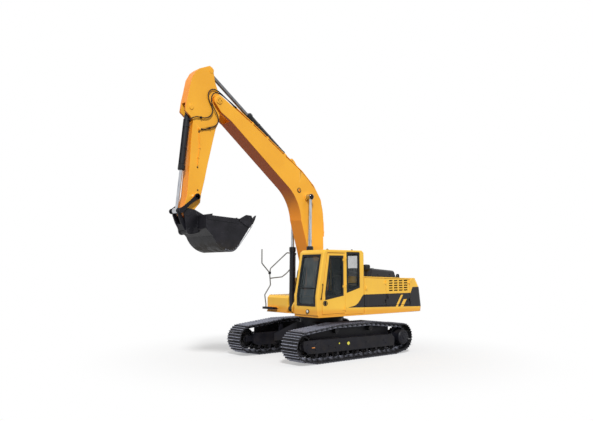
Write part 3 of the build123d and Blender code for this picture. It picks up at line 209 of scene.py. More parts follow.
def side_band(look):
    """1 on the black band painted along the house's sides and round its rear, with its slanted gaps."""
    x, y, z = look.axes()
    bottom = 1.36 + HOUSE_RISE * (x - 0.334)
    bend = look.node("ShaderNodeFloatCurve", None, {"Value": (z - 1.34) / 0.38})
    curve = bend.mapping.curves[0]
    # columns: height up the band from 0 to 1, how far forward its front end reaches from 0 to 1
    front_edge = [(0.0, 1.0), (0.06, 0.90), (0.21, 0.52), (0.50, 0.31), (0.79, 0.18), (1.0, 0.04)]
    curve.points[0].location = front_edge[0]
    curve.points[1].location = front_edge[-1]
    for point in front_edge[1:-1]:
        curve.points.new(*point)
    bend.mapping.update()
    front = Number(look, bend.outputs[0]) * 0.72 - 0.33
    raised = (-2.25 - x).over(0.0, 0.121) * 0.168
    top = 1.69 + raised
    inside = (z - bottom).past(0.001) * (top - z).past(0.001) * (front - x).past()
    slant = x + (z - 1.325) * 0.74
    gap_one = (slant + 1.697).past() * (-1.603 - slant).past() * (1.642 - z).past()
    slant_two = x + (z - 1.33) * 0.80
    gap_two = (slant_two + 1.948).past() * (-1.812 - slant_two).past() * (1.513 - z).past()
    gaps = look.math("MAXIMUM", gap_one, gap_two)
    outside = (y.size() - 1.36).over(0.0, 0.003)
    rear = (-2.60 - x).over(0.0, 0.02)
    return inside * (1 - gaps) * look.math("MAXIMUM", outside, rear)


def gloss_paint(name, tone, banded=False, front=0.0, coat=0.26):
    """Orange machine paint: clouding, orange peel, dust where it lies flat, rubbed edges and chips, and
    painted shade that deepens what faces down.
    front is how far painted shade deepens what faces ahead, and coat the weight of the clear coat."""
    look = new_look(name)
    clouds = look.noise(1.1, 4)
    fine = look.noise(38, 3)
    shade = look.mix(clouds.over(0.3, 0.7), colour(*tone, 0.93), colour(*tone, 1.05))
    # painted shade: a deeper, redder colour on what faces ahead, by front
    if front:
        shade = look.mix(look.facing(0).over(0.3, 0.9) * front, shade, colour(255, 132, 6))
    # painted shade: what faces down turns a deep brownish orange
    under = (0.0 - look.facing_up()).over(0.4, 0.85)
    shade = look.mix(under * 0.9, shade, colour(186, 70, 8))
    if banded:
        x, y, z = look.axes()
        # painted shade: a deeper orange along the house's lower strip, below the doors
        painted_skirt_shade = (1.34 + HOUSE_RISE * x - z).over(-0.02, 0.10)
        shade = look.mix(painted_skirt_shade * 0.55, shade, colour(236, 146, 40))
        shade = look.mix(side_band(look), shade, colour(*BLACK_PAINT))
    streaks = look.noise(7, 4, (1, 1, 0.1)).over(0.58, 0.8)
    dust = look.facing_up().over(0.3, 1.0) * clouds.over(0.35, 0.75) * 0.16 + streaks * 0.08
    shade = look.mix(dust, shade, colour(196, 158, 100))
    rubbed = look.edges(0.006) * look.noise(9, 4).over(0.42, 0.7)
    shade = look.mix(rubbed * 0.35, shade, colour(255, 214, 140))
    chips = look.noise(70, 2).over(0.71, 0.74) * look.noise(2.3, 2).over(0.55, 0.66)
    shade = look.mix(chips * 0.5, shade, colour(92, 66, 44))
    rough = 0.33 + dust * 0.8 + fine * 0.06
    varnish = {"Coat Weight": coat - under * coat, "Coat Roughness": 0.18, "Specular IOR Level": 0.18}
    return look.surface(shade, rough, bump=look.noise(150, 2) + chips * -2.0, height=0.0006, extra=varnish)


def dark_paint(name, base=DARK_PAINT, rough=0.42, dirt=0.16, gleam=0.2):
    """Black paint on steel: brown dust on what faces up and low down, grey rubbed edges."""
    look = new_look(name)
    x, y, z = look.axes()
    clouds = look.noise(3, 5)
    shade = look.mix(clouds.over(0.3, 0.7), colour(*base, 0.75), colour(*base, 1.3))
    low = 1 - z.over(0.1, 1.1)
    dust = (look.facing_up().over(0.2, 1.0) * 0.6 + low * 0.4) * look.noise(5, 5).over(0.4, 0.72) * dirt
    shade = look.mix(dust, shade, colour(104, 92, 78))
    rubbed = look.edges(0.005) * look.noise(14, 4).over(0.35, 0.65)
    shade = look.mix(rubbed * 0.6, shade, colour(96, 97, 106))
    return look.surface(shade, rough + dust * 0.6 + clouds * 0.12, bump=look.noise(90, 3), height=0.0008,
                        extra={"Specular IOR Level": gleam})


def track_steel():
    """Cast and rolled steel of the tracks: dull brown-grey, bright where lugs and rails have worn."""
    look = new_look("track_steel")
    clouds = look.noise(6, 5)
    shade = look.mix(clouds.over(0.3, 0.7), colour(27, 27, 30), colour(48, 47, 50))
    earth = look.noise(11, 6).over(0.52, 0.72)
    shade = look.mix(earth * 0.3, shade, colour(80, 72, 62))
    worn = Number(look, look.node("ShaderNodeAttribute", {"attribute_name": "worn"}).outputs["Fac"])
    bright = look.math("MAXIMUM", worn * look.noise(30, 4).over(0.2, 0.55), look.edges(0.004) * 0.5)
    shade = look.mix(bright, shade, colour(160, 163, 178))
    rough = 0.55 - bright * 0.22 + earth * 0.2
    return look.surface(shade, rough, metallic=0.25 + bright * 0.6, bump=look.noise(60, 4), height=0.0016,
                        extra={"Specular IOR Level": 0.25})


def bucket_steel():
    """Blackened bucket plate with drag scratches, brown earth on its belly and bright worn edges."""
    look = new_look("bucket_steel")
    x, y, z = look.axes()
    clouds = look.noise(3.5, 5)
    shade = look.mix(clouds.over(0.3, 0.7), colour(20, 20, 25), colour(36, 35, 41))
    belly = (1 - z.over(2.80, 3.15)) * look.noise(5, 5).over(0.35, 0.65)
    shade = look.mix(belly * 0.4, shade, colour(70, 62, 44))
    scratch = look.noise(60, 3, (0.12, 1, 1)).over(0.62, 0.7)
    bright = look.math("MAXIMUM", scratch * 0.12, look.edges(0.006) * look.noise(12, 4).over(0.3, 0.6))
    shade = look.mix(bright, shade, colour(128, 128, 138))
    rough = 0.46 - bright * 0.15 + belly * 0.3
    return look.surface(shade, rough, metallic=0.2 + bright * 0.6, bump=look.noise(55, 4) - scratch * 0.5,
                        height=0.0014, extra={"Specular IOR Level": 0.25})


def rod_chrome(name="rod_chrome", lightness=0.8):
    """Polished chrome with a thin film of oil."""
    look = new_look(name)
    film = look.noise(20, 3, (1, 1, 0.2))
    bright, dull = colour(214, 216, 220, lightness), colour(176, 180, 188, lightness)
    shade = look.mix(film.over(0.35, 0.7), bright, dull)
    return look.surface(shade, 0.12 + film * 0.12, metallic=1.0, bump=look.noise(240, 2), height=0.0001)


def pane(name, tint, cover):
    """Window glass that lets the background through, with a thin film of dust."""
    look = new_look(name)
    film = look.noise(4, 5).over(0.4, 0.75)
    shade = look.mix(film * 0.25, colour(*tint), colour(150, 150, 140))
    return look.surface(shade, 0.04 + film * 0.08, extra={"Alpha": cover + film * 0.04})


def black_plastic(name="black_plastic", base=(17, 18, 20), rough=0.5):
    """Grained plastic or rubber, dusty on top."""
    look = new_look(name)
    grain = look.noise(180, 3)
    shade = look.mix(look.noise(5, 3).over(0.3, 0.7), colour(*base, 0.8), colour(*base, 1.3))
    dust = look.facing_up().over(0.5, 1.0) * look.noise(9, 4).over(0.4, 0.7) * 0.2
    shade = look.mix(dust, shade, colour(110, 104, 94))
    return look.surface(shade, rough + grain * 0.15, bump=grain, height=0.0005,
                        extra={"Specular IOR Level": 0.3})


def seat_fabric():
    """Dark seat cloth: a fine twill of two dark greys."""
    look = new_look("seat_fabric")
    x, y, z = look.axes()
    twill = look.math("SINE", (x + y + z) * 1400.0) * 0.5 + 0.5
    shade = look.mix(twill, colour(30, 32, 36), colour(58, 61, 66))
    shade = look.mix(look.noise(7, 4).over(0.45, 0.75) * 0.3, shade, colour(86, 84, 80))
    return look.surface(shade, 0.85, bump=twill + look.noise(300, 2), height=0.0006)


def engine_iron():
    """Cast iron with oil stains."""
    look = new_look("engine_iron")
    oil = look.noise(6, 5)
    shade = look.mix(oil.over(0.35, 0.7), colour(70, 68, 66), colour(40, 36, 32))
    return look.surface(shade, 0.5 + oil * 0.2, metallic=0.4, bump=look.noise(70, 4), height=0.002)


def radiator_core():
    """Cooling fins, close upright lines."""
    look = new_look("core")
    x, y, z = look.axes()
    fins = look.math("SINE", x * 1500.0) * 0.5 + 0.5
    shade = look.mix(fins, colour(22, 22, 24), colour(84, 86, 90))
    shade = look.mix(look.noise(6, 4).over(0.45, 0.7) * 0.4, shade, colour(104, 92, 74))
    return look.surface(shade, 0.5, metallic=0.5, bump=fins, height=0.002)


def lens(name, tint):
    """Moulded lamp or reflector cover."""
    look = new_look(name)
    cells = look.noise(120, 1)
    shade = look.mix(cells.over(0.4, 0.6), colour(*tint, 0.8), colour(*tint))
    return look.surface(shade, 0.12 + cells * 0.1, bump=cells, height=0.001, extra={"Coat Weight": 0.6})


finish = {
    "house_paint": gloss_paint("house_paint", HOUSE_ORANGE, banded=True),
    # front=0.6: painted shade deepens the arm's faces that look ahead
    "arm_paint": gloss_paint("arm_paint", ARM_ORANGE, front=0.6, coat=0.12),
    "dark_paint": dark_paint("dark_paint"),
    "hood_paint": dark_paint("hood_paint", DARK_PAINT, 0.2, 0.08, 0.4),
    "track_steel": track_steel(),
    "bucket_steel": bucket_steel(),
    "rod_chrome": rod_chrome(),
    "glass": pane("glass", (40, 54, 58), 0.16),
    "seat_fabric": seat_fabric(),
    "black_plastic": black_plastic(),
    "engine_iron": engine_iron(),
    "core": radiator_core(),
    "hose_rubber": black_plastic("hose_rubber", (21, 21, 23), 0.55),
}
windscreen_glass = pane("windscreen_glass", (46, 62, 68), 0.62)
ram_paint = dark_paint("ram_paint", (18, 19, 25), 0.28, 0.1, 0.3)
rail_paint = dark_paint("rail_paint", (104, 104, 100), 0.35, 0.1, 0.5)
lining = black_plastic("cab_lining", (17, 18, 20), 0.7)
oiled_chrome = rod_chrome("oiled_chrome", 0.3)
worn_steel = dark_paint("worn_steel", (120, 122, 132), 0.35, 0.1, 0.5)
lamp_lens = lens("lamp_lens", (236, 232, 222))
reflector_lens = lens("reflector_lens", (236, 226, 60))
amber_lens = lens("amber_lens", (214, 130, 30))


# Shapes

SHARP = radians(30)


def as_mesh(name, part):
    """A shape's mesh. The shape itself is used up."""
    mesh = bpy.data.meshes.new(name)
    part.to_mesh(mesh)
    part.free()
    return mesh


def shown(name, data):
    """A new object in the scene."""
    made = bpy.data.objects.new(name, data)
    bpy.context.scene.collection.objects.link(made)
    return made


def put_in(shape, part):
    """Moves one finished shape into another."""
    held = as_mesh("held", part)
    shape.from_mesh(held)
    bpy.data.meshes.remove(held)


def rounded(part, width, segments=2):
    """Rounds a shape's sharp edges."""
    sharp = [e for e in part.edges if len(e.link_faces) == 2 and e.calc_face_angle() > SHARP]
    if width > 0 and sharp:
        bmesh.ops.bevel(part, geom=sharp, offset=width, offset_type="OFFSET", segments=segments,
                        profile=0.5, affect="EDGES", clamp_overlap=False, material=-1)
    return part


def outlined(points, at, plane):
    """A flat face from (x, z) points at this y, or from (y, z) points at this x."""
    part = bmesh.new()
    part.faces.new([part.verts.new((u, at, v) if plane == "xz" else (at, u, v)) for u, v in points])
    return part


def thickened(part, run, plane):
    """Carries a flat shape by run along the axis that its outline leaves out."""
    grown = bmesh.ops.extrude_face_region(part, geom=part.faces[:])["geom"]
    bmesh.ops.translate(part, vec=(0, run, 0) if plane == "xz" else (run, 0, 0),
                        verts=[v for v in grown if isinstance(v, bmesh.types.BMVert)])
    bmesh.ops.recalc_face_normals(part, faces=part.faces)
    return part


def plate(points, low, high, width=0.003, plane="xz"):
    """An outline carried along the third axis from low to high, with edges rounded by width."""
    return rounded(thickened(outlined(points, low, plane), high - low, plane), width)


def box(x_span, y_span, z_span, width=0.003):
    """A block between two values on each axis, with edges rounded by width."""
    part = bmesh.new()
    spans = (x_span, y_span, z_span)
    middle = Matrix.Translation([(low + high) / 2 for low, high in spans])
    size = Matrix.Diagonal([*(abs(high - low) for low, high in spans), 1.0])
    bmesh.ops.create_cube(part, size=1.0, matrix=middle @ size)
    return rounded(part, width)


def aim(direction):
    """The turn that brings Z to this direction."""
    return Vector(direction).to_track_quat("Z", "Y").to_matrix().to_4x4()


def rod(start, end, radius, steps, width=0.0):
    """A round bar from one point to another, with sharp edges rounded by width."""
    start, end = Vector(start), Vector(end)
    part = bmesh.new()
    where = Matrix.Translation((start + end) / 2) @ aim(end - start)
    bmesh.ops.create_cone(part, cap_ends=True, segments=steps, radius1=radius, radius2=radius,
                          depth=(end - start).length, matrix=where)
    return rounded(part, width)


def turned(profile, centre, direction, steps=32):
    """A shape turned about a line through centre: columns are radius and distance along the line."""
    part = bmesh.new()
    spots = [part.verts.new((radius, 0, distance)) for radius, distance in profile]
    edges = [part.edges.new(pair) for pair in zip(spots, spots[1:])]
    bmesh.ops.spin(part, geom=[*spots, *edges], cent=(0, 0, 0), axis=(0, 0, 1), angle=2 * pi,
                   steps=steps, use_merge=True, use_duplicate=False)
    bmesh.ops.remove_doubles(part, verts=part.verts, dist=1e-5)
    bmesh.ops.recalc_face_normals(part, faces=part.faces)
    bmesh.ops.transform(part, matrix=Matrix.Translation(centre) @ aim(direction), verts=part.verts)
    return part


def bolt(centre, direction, radius, height):
    """A hexagon head."""
    part = bmesh.new()
    direction = Vector(direction).normalized()
    where = Matrix.Translation(Vector(centre) + direction * height / 2) @ aim(direction)
    bmesh.ops.create_cone(part, cap_ends=True, segments=6, radius1=radius, radius2=radius * 0.92,
                          depth=height, matrix=where)
    return part


def bolt_ring(shape, centre, direction, ring, count, radius, height):
    """Bolts in a circle about a line through centre."""
    turn = Matrix.Translation(centre) @ aim(direction)
    for i in range(count):
        angle = 2 * pi * i / count
        spot = turn @ Vector((ring * cos(angle), ring * sin(angle), 0))
        put_in(shape, bolt(spot, direction, radius, height))


def piece(shape, name, material, body, angle=30, more=()):
    """Makes a shape a shown piece: faces outward, smooth but for its sharp edges, and riding its body."""
    bmesh.ops.remove_doubles(shape, verts=shape.verts, dist=1e-6)
    bmesh.ops.recalc_face_normals(shape, faces=shape.faces)
    mesh = as_mesh(name, shape)
    mesh.shade_smooth()
    mesh.set_sharp_from_angle(angle=radians(angle))
    for each in (material, *more):
        mesh.materials.append(each)
    made = shown(name, mesh)
    if body:
        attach(made, body)
    return made


def fitting(shape, name, body, slot, angle=30):
    """A piece in its slot's own finish."""
    return piece(shape, name, finish[slot], body, angle)


def solid_copy(node):
    """A node's mesh with its loose triangles merged into whole faces."""
    part = bmesh.new()
    part.from_mesh(frame["nodes"][node].data)
    bmesh.ops.remove_doubles(part, verts=part.verts, dist=1e-5)
    bmesh.ops.dissolve_limit(part, angle_limit=radians(0.5), verts=part.verts, edges=part.edges,
                             use_dissolve_boundaries=False)
    # faces with inward corners or holes go back to triangles, which stay whole when rounded
    dented = [face for face in part.faces if any(not loop.is_convex for loop in face.loops)]
    bmesh.ops.triangulate(part, faces=dented)
    return part


def edge_room(edge, spot):
    """The length of the shortest edge beside this one at one of its ends.
    It is a metre where only the edge's own run goes on."""
    along = (edge.other_vert(spot).co - spot.co).normalized()
    room = 1.0
    for face in edge.link_faces:
        for beside in face.edges:
            if beside is not edge and spot in beside.verts:
                onward = (beside.other_vert(spot).co - spot.co).normalized()
                aside = along.cross(onward).length
                if along.dot(onward) > -0.8 or aside > 0.6:
                    room = min(room, beside.calc_length() * aside)
    return room


def on_sliver(edge):
    """Whether an edge is the short side of a triangle, as round the rim of a hole in a flat face."""
    for face in edge.link_faces:
        longest = max(each.calc_length() for each in face.edges)
        if len(face.verts) == 3 and edge.calc_length() < 0.4 * longest:
            return True
    return False


def at_any(spot, places):
    """Whether a point lies at one of these (x, z) places."""
    return any(hypot(spot.co.x - x, spot.co.z - z) < 0.01 for x, z in places)


def round_edges(made, width, segments=2, left_sharp=()):
    """Rounds a piece's sharp edges, each by no more than the faces beside it leave room for.
    Edges between two of the (x, z) places in left_sharp stay as they are."""
    shape = bmesh.new()
    shape.from_mesh(made.data)
    share = shape.edges.layers.float.new("bevel_weight_edge")
    for edge in shape.edges:
        if len(edge.link_faces) == 2 and edge.calc_face_angle(0.0) > SHARP:
            room = min(edge_room(edge, spot) for spot in edge.verts)
            kept = on_sliver(edge) or all(at_any(spot, left_sharp) for spot in edge.verts)
            wanted = 0.0 if kept else min(1.0, room * 0.4 / width)
            edge[share] = wanted if wanted * width > 0.0006 else 0.0
    shape.to_mesh(made.data)
    shape.free()
    bevel = made.modifiers.new("round_edges", "BEVEL")
    bevel.limit_method = "WEIGHT"
    bevel.width = width
    bevel.segments = segments
    bevel.use_clamp_overlap = False
    bevel.miter_outer = "MITER_ARC"
    flat = made.modifiers.new("even_shading", "WEIGHTED_NORMAL")
    flat.mode = "FACE_AREA"
    flat.weight = 100
    flat.keep_sharp = True


def dress(node, width, material=None):
    """Stands a copy of a solid with rounded edges in for it."""
    slot = slot_of[node]
    made = piece(solid_copy(node), node + "_dressed", material or finish[slot], body_of[node])
    if width > 0:
        round_edges(made, width, left_sharp=door_window if node == "cab_door" else ())
    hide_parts(node)


# Stage

def camera():
    """The photo's camera."""
    lens_data = bpy.data.cameras.new("photo_camera")
    lens_data.sensor_fit = "HORIZONTAL"
    lens_data.sensor_width = 36
    lens_data.lens = 37.49
    lens_data.shift_x = 0.0029
    lens_data.shift_y = 0.0057
    lens_data.clip_end = 200
    made = shown("photo_camera", lens_data)
    made.location = (12.16, 13.04, 2.37)
    made.rotation_euler = (radians(95.14), 0, radians(139.42))
    bpy.context.scene.camera = made


def seen_direct(look):
    """1 for what the eye, metal and glass see of the background."""
    rays = look.node("ShaderNodeLightPath").outputs
    kinds = ("Is Camera Ray", "Is Glossy Ray", "Is Transmission Ray")
    eye, shine, glass = (Number(look, rays[kind]) for kind in kinds)
    return look.math("MAXIMUM", look.math("MAXIMUM", eye, shine), glass)


def sky():
    """White as a background, a weaker soft light on the object."""
    world = bpy.data.worlds.new("studio_sky")
    bpy.context.scene.world = world
    look = Look(world)
    strength = 0.42 + seen_direct(look) * 0.58
    shine = look.node("ShaderNodeBackground", None, {"Color": (1, 1, 1, 1), "Strength": strength})
    look.node("ShaderNodeOutputWorld", None, {"Surface": shine.outputs[0]})


def floor():
    """White to the eye, with a soft shadow near the tracks, and dim in what it reflects up."""
    look = new_look("studio_floor")
    x, y, z = look.axes()
    glow = look.math("SQRT", x * x + y * y).over(3.0, 7.0) * 0.6 + 0.4
    pale = look.node("ShaderNodeBsdfDiffuse", None, {"Color": (0.86, 0.86, 0.86, 1)})
    white = look.node("ShaderNodeEmission", None, {"Color": (1, 1, 1, 1), "Strength": 1.0})
    seen = look.node("ShaderNodeMixShader", None, {0: glow, 1: pale.outputs[0], 2: white.outputs[0]})
    dim = look.node("ShaderNodeBsdfDiffuse", None, {"Color": (0.30, 0.29, 0.28, 1)})
    both = look.node("ShaderNodeMixShader", None,
                     {0: seen_direct(look), 1: dim.outputs[0], 2: seen.outputs[0]})
    look.node("ShaderNodeOutputMaterial", None, {"Surface": both.outputs[0]})
    part = bmesh.new()
    bmesh.ops.create_grid(part, x_segments=1, y_segments=1, size=60)
    made = shown("studio_floor", as_mesh("studio_floor", part))
    made.data.materials.append(look.owner)
    made.location = (0, 0, -0.002)


def key_light():
    """A soft sun from the front left."""
    lamp = bpy.data.lights.new("key_light", "SUN")
    lamp.energy = 2.9
    lamp.angle = radians(9)
    towards = Vector((0.58, 0.75, 0.85))
    shown("key_light", lamp).rotation_euler = towards.to_track_quat("Z", "Y").to_euler()


bpy.context.scene.view_settings.view_transform = "Standard"
camera()
sky()
floor()
key_light()


# Solids with rounded edges: columns are node and edge width
dressed_nodes = [
    ("track_frame_left", 0.008), ("track_frame_right", 0.008), ("travel_drive_left", 0.006),
    ("travel_drive_right", 0.006), ("idler_left", 0.004), ("idler_right", 0.004), ("rollers_left", 0.003),
    ("rollers_right", 0.003), ("centre_frame", 0.012), ("tow_eye", 0.004), ("slew_bearing", 0.004),
    ("revolving_frame", 0.006), ("cab_door", 0.006), ("house_cover", 0.005), ("battery_door", 0.007),
    ("radiator_door", 0.005), ("pump_door", 0.007), ("engine_block", 0.015), ("radiator_pack", 0.006),
    ("battery_box", 0.006), ("engine_hood", 0.010), ("air_precleaner", 0.004), ("counterweight", 0.012),
    ("lifting_eye_left", 0.005), ("lifting_eye_right", 0.005), ("tool_box", 0.010), ("fuel_tank", 0.012),
    ("hydraulic_tank", 0.012), ("handrails", 0.0), ("boom", 0.007), ("boom_pipes", 0.002), ("stick", 0.007),
    ("boom_ram_barrel_left", 0.003), ("boom_ram_barrel_right", 0.003), ("boom_ram_rod_left", 0.003),
    ("boom_ram_rod_right", 0.003), ("stick_ram_barrel", 0.003), ("stick_ram_rod", 0.003),
    ("bucket_ram_barrel", 0.003), ("bucket_ram_rod", 0.003), ("bucket_levers", 0.005),
    ("bucket_link", 0.006), ("bucket", 0.004), ("cab_controls", 0.006), ("work_lamp", 0.003),
]
special = {"handrails": rail_paint, "stick_ram_rod": oiled_chrome}
special.update((node, ram_paint) for node, width in dressed_nodes if "ram_barrel" in node)
for node, width in dressed_nodes:
    dress(node, width, special.get(node))


LINED_HALF = 0.413
LINED_REAR = -0.227
LINED_FOOT = 1.233
LINED_TOP = 2.833


def cab_shell():
    """The cab, orange outside and lined dark inside."""
    centre = Vector((0.5, CAB_MIDDLE, 2.0))
    made = piece(solid_copy("cab_shell"), "cab_shell_dressed", finish["house_paint"], "house",
                 more=(lining,))
    round_edges(made, 0.022, segments=3)
    for face in made.data.polygons:
        x, y, z = face.center
        inside = abs(y - CAB_MIDDLE) < LINED_HALF and x > LINED_REAR and LINED_FOOT < z < LINED_TOP
        if inside and face.normal.dot(centre - face.center) > 0:
            face.material_index = 1
    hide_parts("cab_shell")


def windows():
    """Panes: the windscreen is darker than the rest."""
    made = piece(solid_copy("cab_windows"), "cab_panes", finish["glass"], "house",
                 more=(windscreen_glass,))
    for face in made.data.polygons:
        x, y, z = face.center
        if x > 1.1 and abs(y - CAB_MIDDLE) < 0.42 and abs(face.normal.y) < 0.5:
            face.material_index = 1
    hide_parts("cab_windows")
    made = fitting(solid_copy("door_window"), "door_pane", "cab_door", "glass")
    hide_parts("door_window")


cab_shell()
windows()


# Tracks: columns are x, z and radius of the circles that the lug tips run round
track_circles = [(-1.480, 0.210, 0.210), (1.480, 0.210, 0.210), (1.825, 0.450, 0.388),
                 (0.650, 0.765, 0.195), (-0.650, 0.765, 0.195), (-1.825, 0.450, 0.388)]
PITCH_DEPTH = 0.085
SHOE_PITCH = 0.190
SHOE_HALF = 0.3


def track_path():
    """Runs and arcs of the chain's pitch line, each with its length."""
    circles = [(x, z, r - PITCH_DEPTH) for x, z, r in track_circles]
    count = len(circles)
    normals = []
    for i in range(count):
        ax, az, ar = circles[i]
        bx, bz, br = circles[(i + 1) % count]
        normals.append(atan2(bz - az, bx - ax) - acos((ar - br) / hypot(bx - ax, bz - az)))
    path = []
    for i in range(count):
        ax, az, ar = circles[i]
        bx, bz, br = circles[(i + 1) % count]
        turn = (normals[i] - normals[i - 1]) % (2 * pi)
        path.append((ax, az, ar, normals[i - 1], turn, ar * turn))
        run = hypot(bx - ax + (br - ar) * cos(normals[i]), bz - az + (br - ar) * sin(normals[i]))
        path.append((ax, az, ar, normals[i], 0, run))
    return path


def on_path(path, distance):
    """Point and outward angle at this distance round the path."""
    for x, z, radius, normal, turn, length in path:
        if distance <= length:
            if turn:
                angle = normal + turn * distance / length
                return x + radius * cos(angle), z + radius * sin(angle), angle
            across = radius * cos(normal) - distance * sin(normal)
            return x + across, z + radius * sin(normal) + distance * cos(normal), normal
        distance -= length
    return on_path(path, distance)


def mark_worn(part, tips):
    """Keeps how worn each point is, for the steel's colour."""
    worn = part.verts.layers.float.new("worn")
    for spot in part.verts:
        spot[worn] = 1.0 if tips(spot.co) else 0.0
    return part


def shoe():
    """One track shoe, lug tips at z 0: plate with three lugs, four bolts, two rail links and a pin."""
    outline = [(-0.089, -0.036), (-0.089, -0.006), (-0.083, 0.0), (-0.076, 0.0), (-0.062, -0.026),
               (-0.016, -0.026), (-0.007, 0.0), (0.007, 0.0), (0.016, -0.026), (0.062, -0.026),
               (0.076, 0.0), (0.083, 0.0), (0.089, -0.006), (0.089, -0.040), (-0.084, -0.040),
               (-0.092, -0.050), (-0.128, -0.050), (-0.128, -0.043), (-0.094, -0.043)]
    part = plate(outline, -SHOE_HALF, SHOE_HALF, width=0.0)
    for u in (-0.040, 0.040):
        for v in (-0.080, 0.080):
            put_in(part, bolt((u, v, -0.026), (0, 0, 1), 0.014, 0.012))
    link = [(-0.102, -0.100), (-0.090, -0.122), (0.070, -0.125), (0.084, -0.112), (0.088, -0.060),
            (0.060, -0.038), (-0.070, -0.038), (-0.104, -0.062)]
    for side in (-1, 1):
        put_in(part, plate(link, *sorted((side * 0.052, side * 0.108)), width=0.0))
    put_in(part, rod((0.095, -0.116, -PITCH_DEPTH), (0.095, 0.116, -PITCH_DEPTH), 0.020, 8))
    return mark_worn(part, lambda spot: spot.z > -0.003 or spot.z < -0.118)


def tracks():
    """Both chains, a shoe at each link of the path."""
    path = track_path()
    whole = sum(run[-1] for run in path)
    count = round(whole / SHOE_PITCH)
    held = as_mesh("one_shoe", shoe())
    for name, centre in (("left", TRACK_Y), ("right", -TRACK_Y)):
        shape = bmesh.new()
        for i in range(count):
            x, z, angle = on_path(path, (i + 0.5) * whole / count)
            # the shoe's own z points outward and its x along the chain
            out = Vector((cos(angle), 0, sin(angle)))
            ahead = Vector((sin(angle), 0, -cos(angle)))
            move = Matrix.Translation(Vector((x, centre, z)) + out * PITCH_DEPTH)
            turn = Matrix((ahead, (0, 1, 0), out)).transposed().to_4x4()
            before = len(shape.verts)
            shape.from_mesh(held)
            shape.verts.ensure_lookup_table()
            bmesh.ops.transform(shape, matrix=move @ turn, verts=shape.verts[before:])
        made = fitting(shape, "track_chain_" + name, "undercarriage", "track_steel")
        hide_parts("track_" + name)


tracks()


def louvres():
    """Slanted blades in the openings of the radiator door, with a dark sheet behind them as painted shade
    in the openings.
    """
    shape = bmesh.new()
    for row in range(5):
        for column in range(4):
            x = -1.400 - column * 0.218
            z = 2.048 - row * 0.068
            for low in (z - 0.016, z + 0.002):
                blade = [(1.372, low), (1.402, low + 0.010), (1.402, low + 0.013), (1.372, low + 0.003)]
                put_in(shape, plate(blade, x - 0.080, x + 0.080, 0.0, "yz"))
    # dark sheet behind the blades: painted shade inside the openings
    put_in(shape, box((-2.160, -1.290), (1.350, 1.364), (1.740, 2.078), 0.002))
    fitting(shape, "louvre_blades", "radiator_door", "black_plastic")


louvres()


HOSE_RADIUS = 0.014


def hose_line(name, route):
    """A hose's mesh along a smooth spline through the points of its route."""
    line = bpy.data.curves.new(name, "CURVE")
    line.dimensions = "3D"
    line.bevel_depth = HOSE_RADIUS
    line.bevel_resolution = 3
    line.resolution_u = 8
    line.use_fill_caps = True
    spline = line.splines.new("NURBS")
    spline.points.add(len(route) - 1)
    for point, spot in zip(spline.points, route):
        point.co = (*spot, 1.0)
    spline.order_u = 3
    spline.use_endpoint_u = True
    held = shown(name + "_line", line)
    mesh = bpy.data.meshes.new_from_object(held)
    bpy.data.objects.remove(held)
    part = bmesh.new()
    part.from_mesh(mesh)
    bpy.data.meshes.remove(mesh)
    bmesh.ops.remove_doubles(part, verts=part.verts, dist=1e-5)
    return part


def cut_off(part, spot, keep):
    """Cuts a shape square at a plane through spot and leaves what lies towards keep, closed."""
    cut = bmesh.ops.bisect_plane(part, geom=part.verts[:] + part.edges[:] + part.faces[:], plane_co=spot,
                                 plane_no=keep, clear_inner=True)
    rim = [e for e in cut["geom_cut"] if isinstance(e, bmesh.types.BMEdge)]
    bmesh.ops.edgeloop_fill(part, edges=rim)
    return part


bucket_hose_route = [
    (3.1509, 0.176, 6.5106), (3.294, 0.178, 6.612), (3.445, 0.180, 6.708), (3.598, 0.181, 6.806),
    (3.745, 0.182, 6.880), (3.885, 0.183, 6.880), (3.985, 0.184, 6.785), (3.996, 0.184, 6.655),
    (3.942, 0.184, 6.532), (3.872, 0.184, 6.425), (3.852, 0.184, 6.305), (3.905, 0.184, 6.192),
    (4.010, 0.184, 6.120), (4.130, 0.184, 6.098), (4.250, 0.184, 6.106), (4.345, 0.188, 6.098),
    (4.418, 0.188, 6.066), (4.468, 0.166, 6.030), (4.484, 0.134, 6.0165), (4.484, 0.1048, 6.016),
]
stick_hose_route = [
    (3.1509, 0.212, 6.5106), (3.285, 0.214, 6.594), (3.425, 0.215, 6.670), (3.565, 0.216, 6.744),
    (3.700, 0.217, 6.800), (3.818, 0.218, 6.790), (3.900, 0.218, 6.710), (3.924, 0.218, 6.600),
    (3.896, 0.218, 6.486), (3.835, 0.218, 6.385), (3.765, 0.214, 6.288), (3.706, 0.207, 6.188),
    (3.688, 0.200, 6.080), (3.735, 0.192, 5.982), (3.825, 0.184, 5.916), (3.930, 0.176, 5.872),
    (4.030, 0.172, 5.838), (4.115, 0.171, 5.820), (4.1888, 0.171, 5.815),
]
ram_hose_side = [
    (0.092, 0.120, 3.8511), (0.086, 0.121, 3.930), (0.084, 0.123, 4.032), (0.102, 0.125, 4.172),
    (0.150, 0.127, 4.325), (0.232, 0.128, 4.478), (0.340, 0.127, 4.616), (0.460, 0.124, 4.738),
    (0.588, 0.118, 4.848), (0.714, 0.106, 4.954), (0.828, 0.088, 5.060), (0.920, 0.066, 5.166),
    (0.968, 0.056, 5.252), (1.022, 0.051, 5.318), (1.078, 0.050, 5.346), (1.1202, 0.050, 5.3498),
]
STICK_TURN_START = (3.29, 0, 6.62)
STICK_TURN_END = (3.73, 0, 6.18)
HOSE_CLAMP = (4.190, 0.184, 6.102)


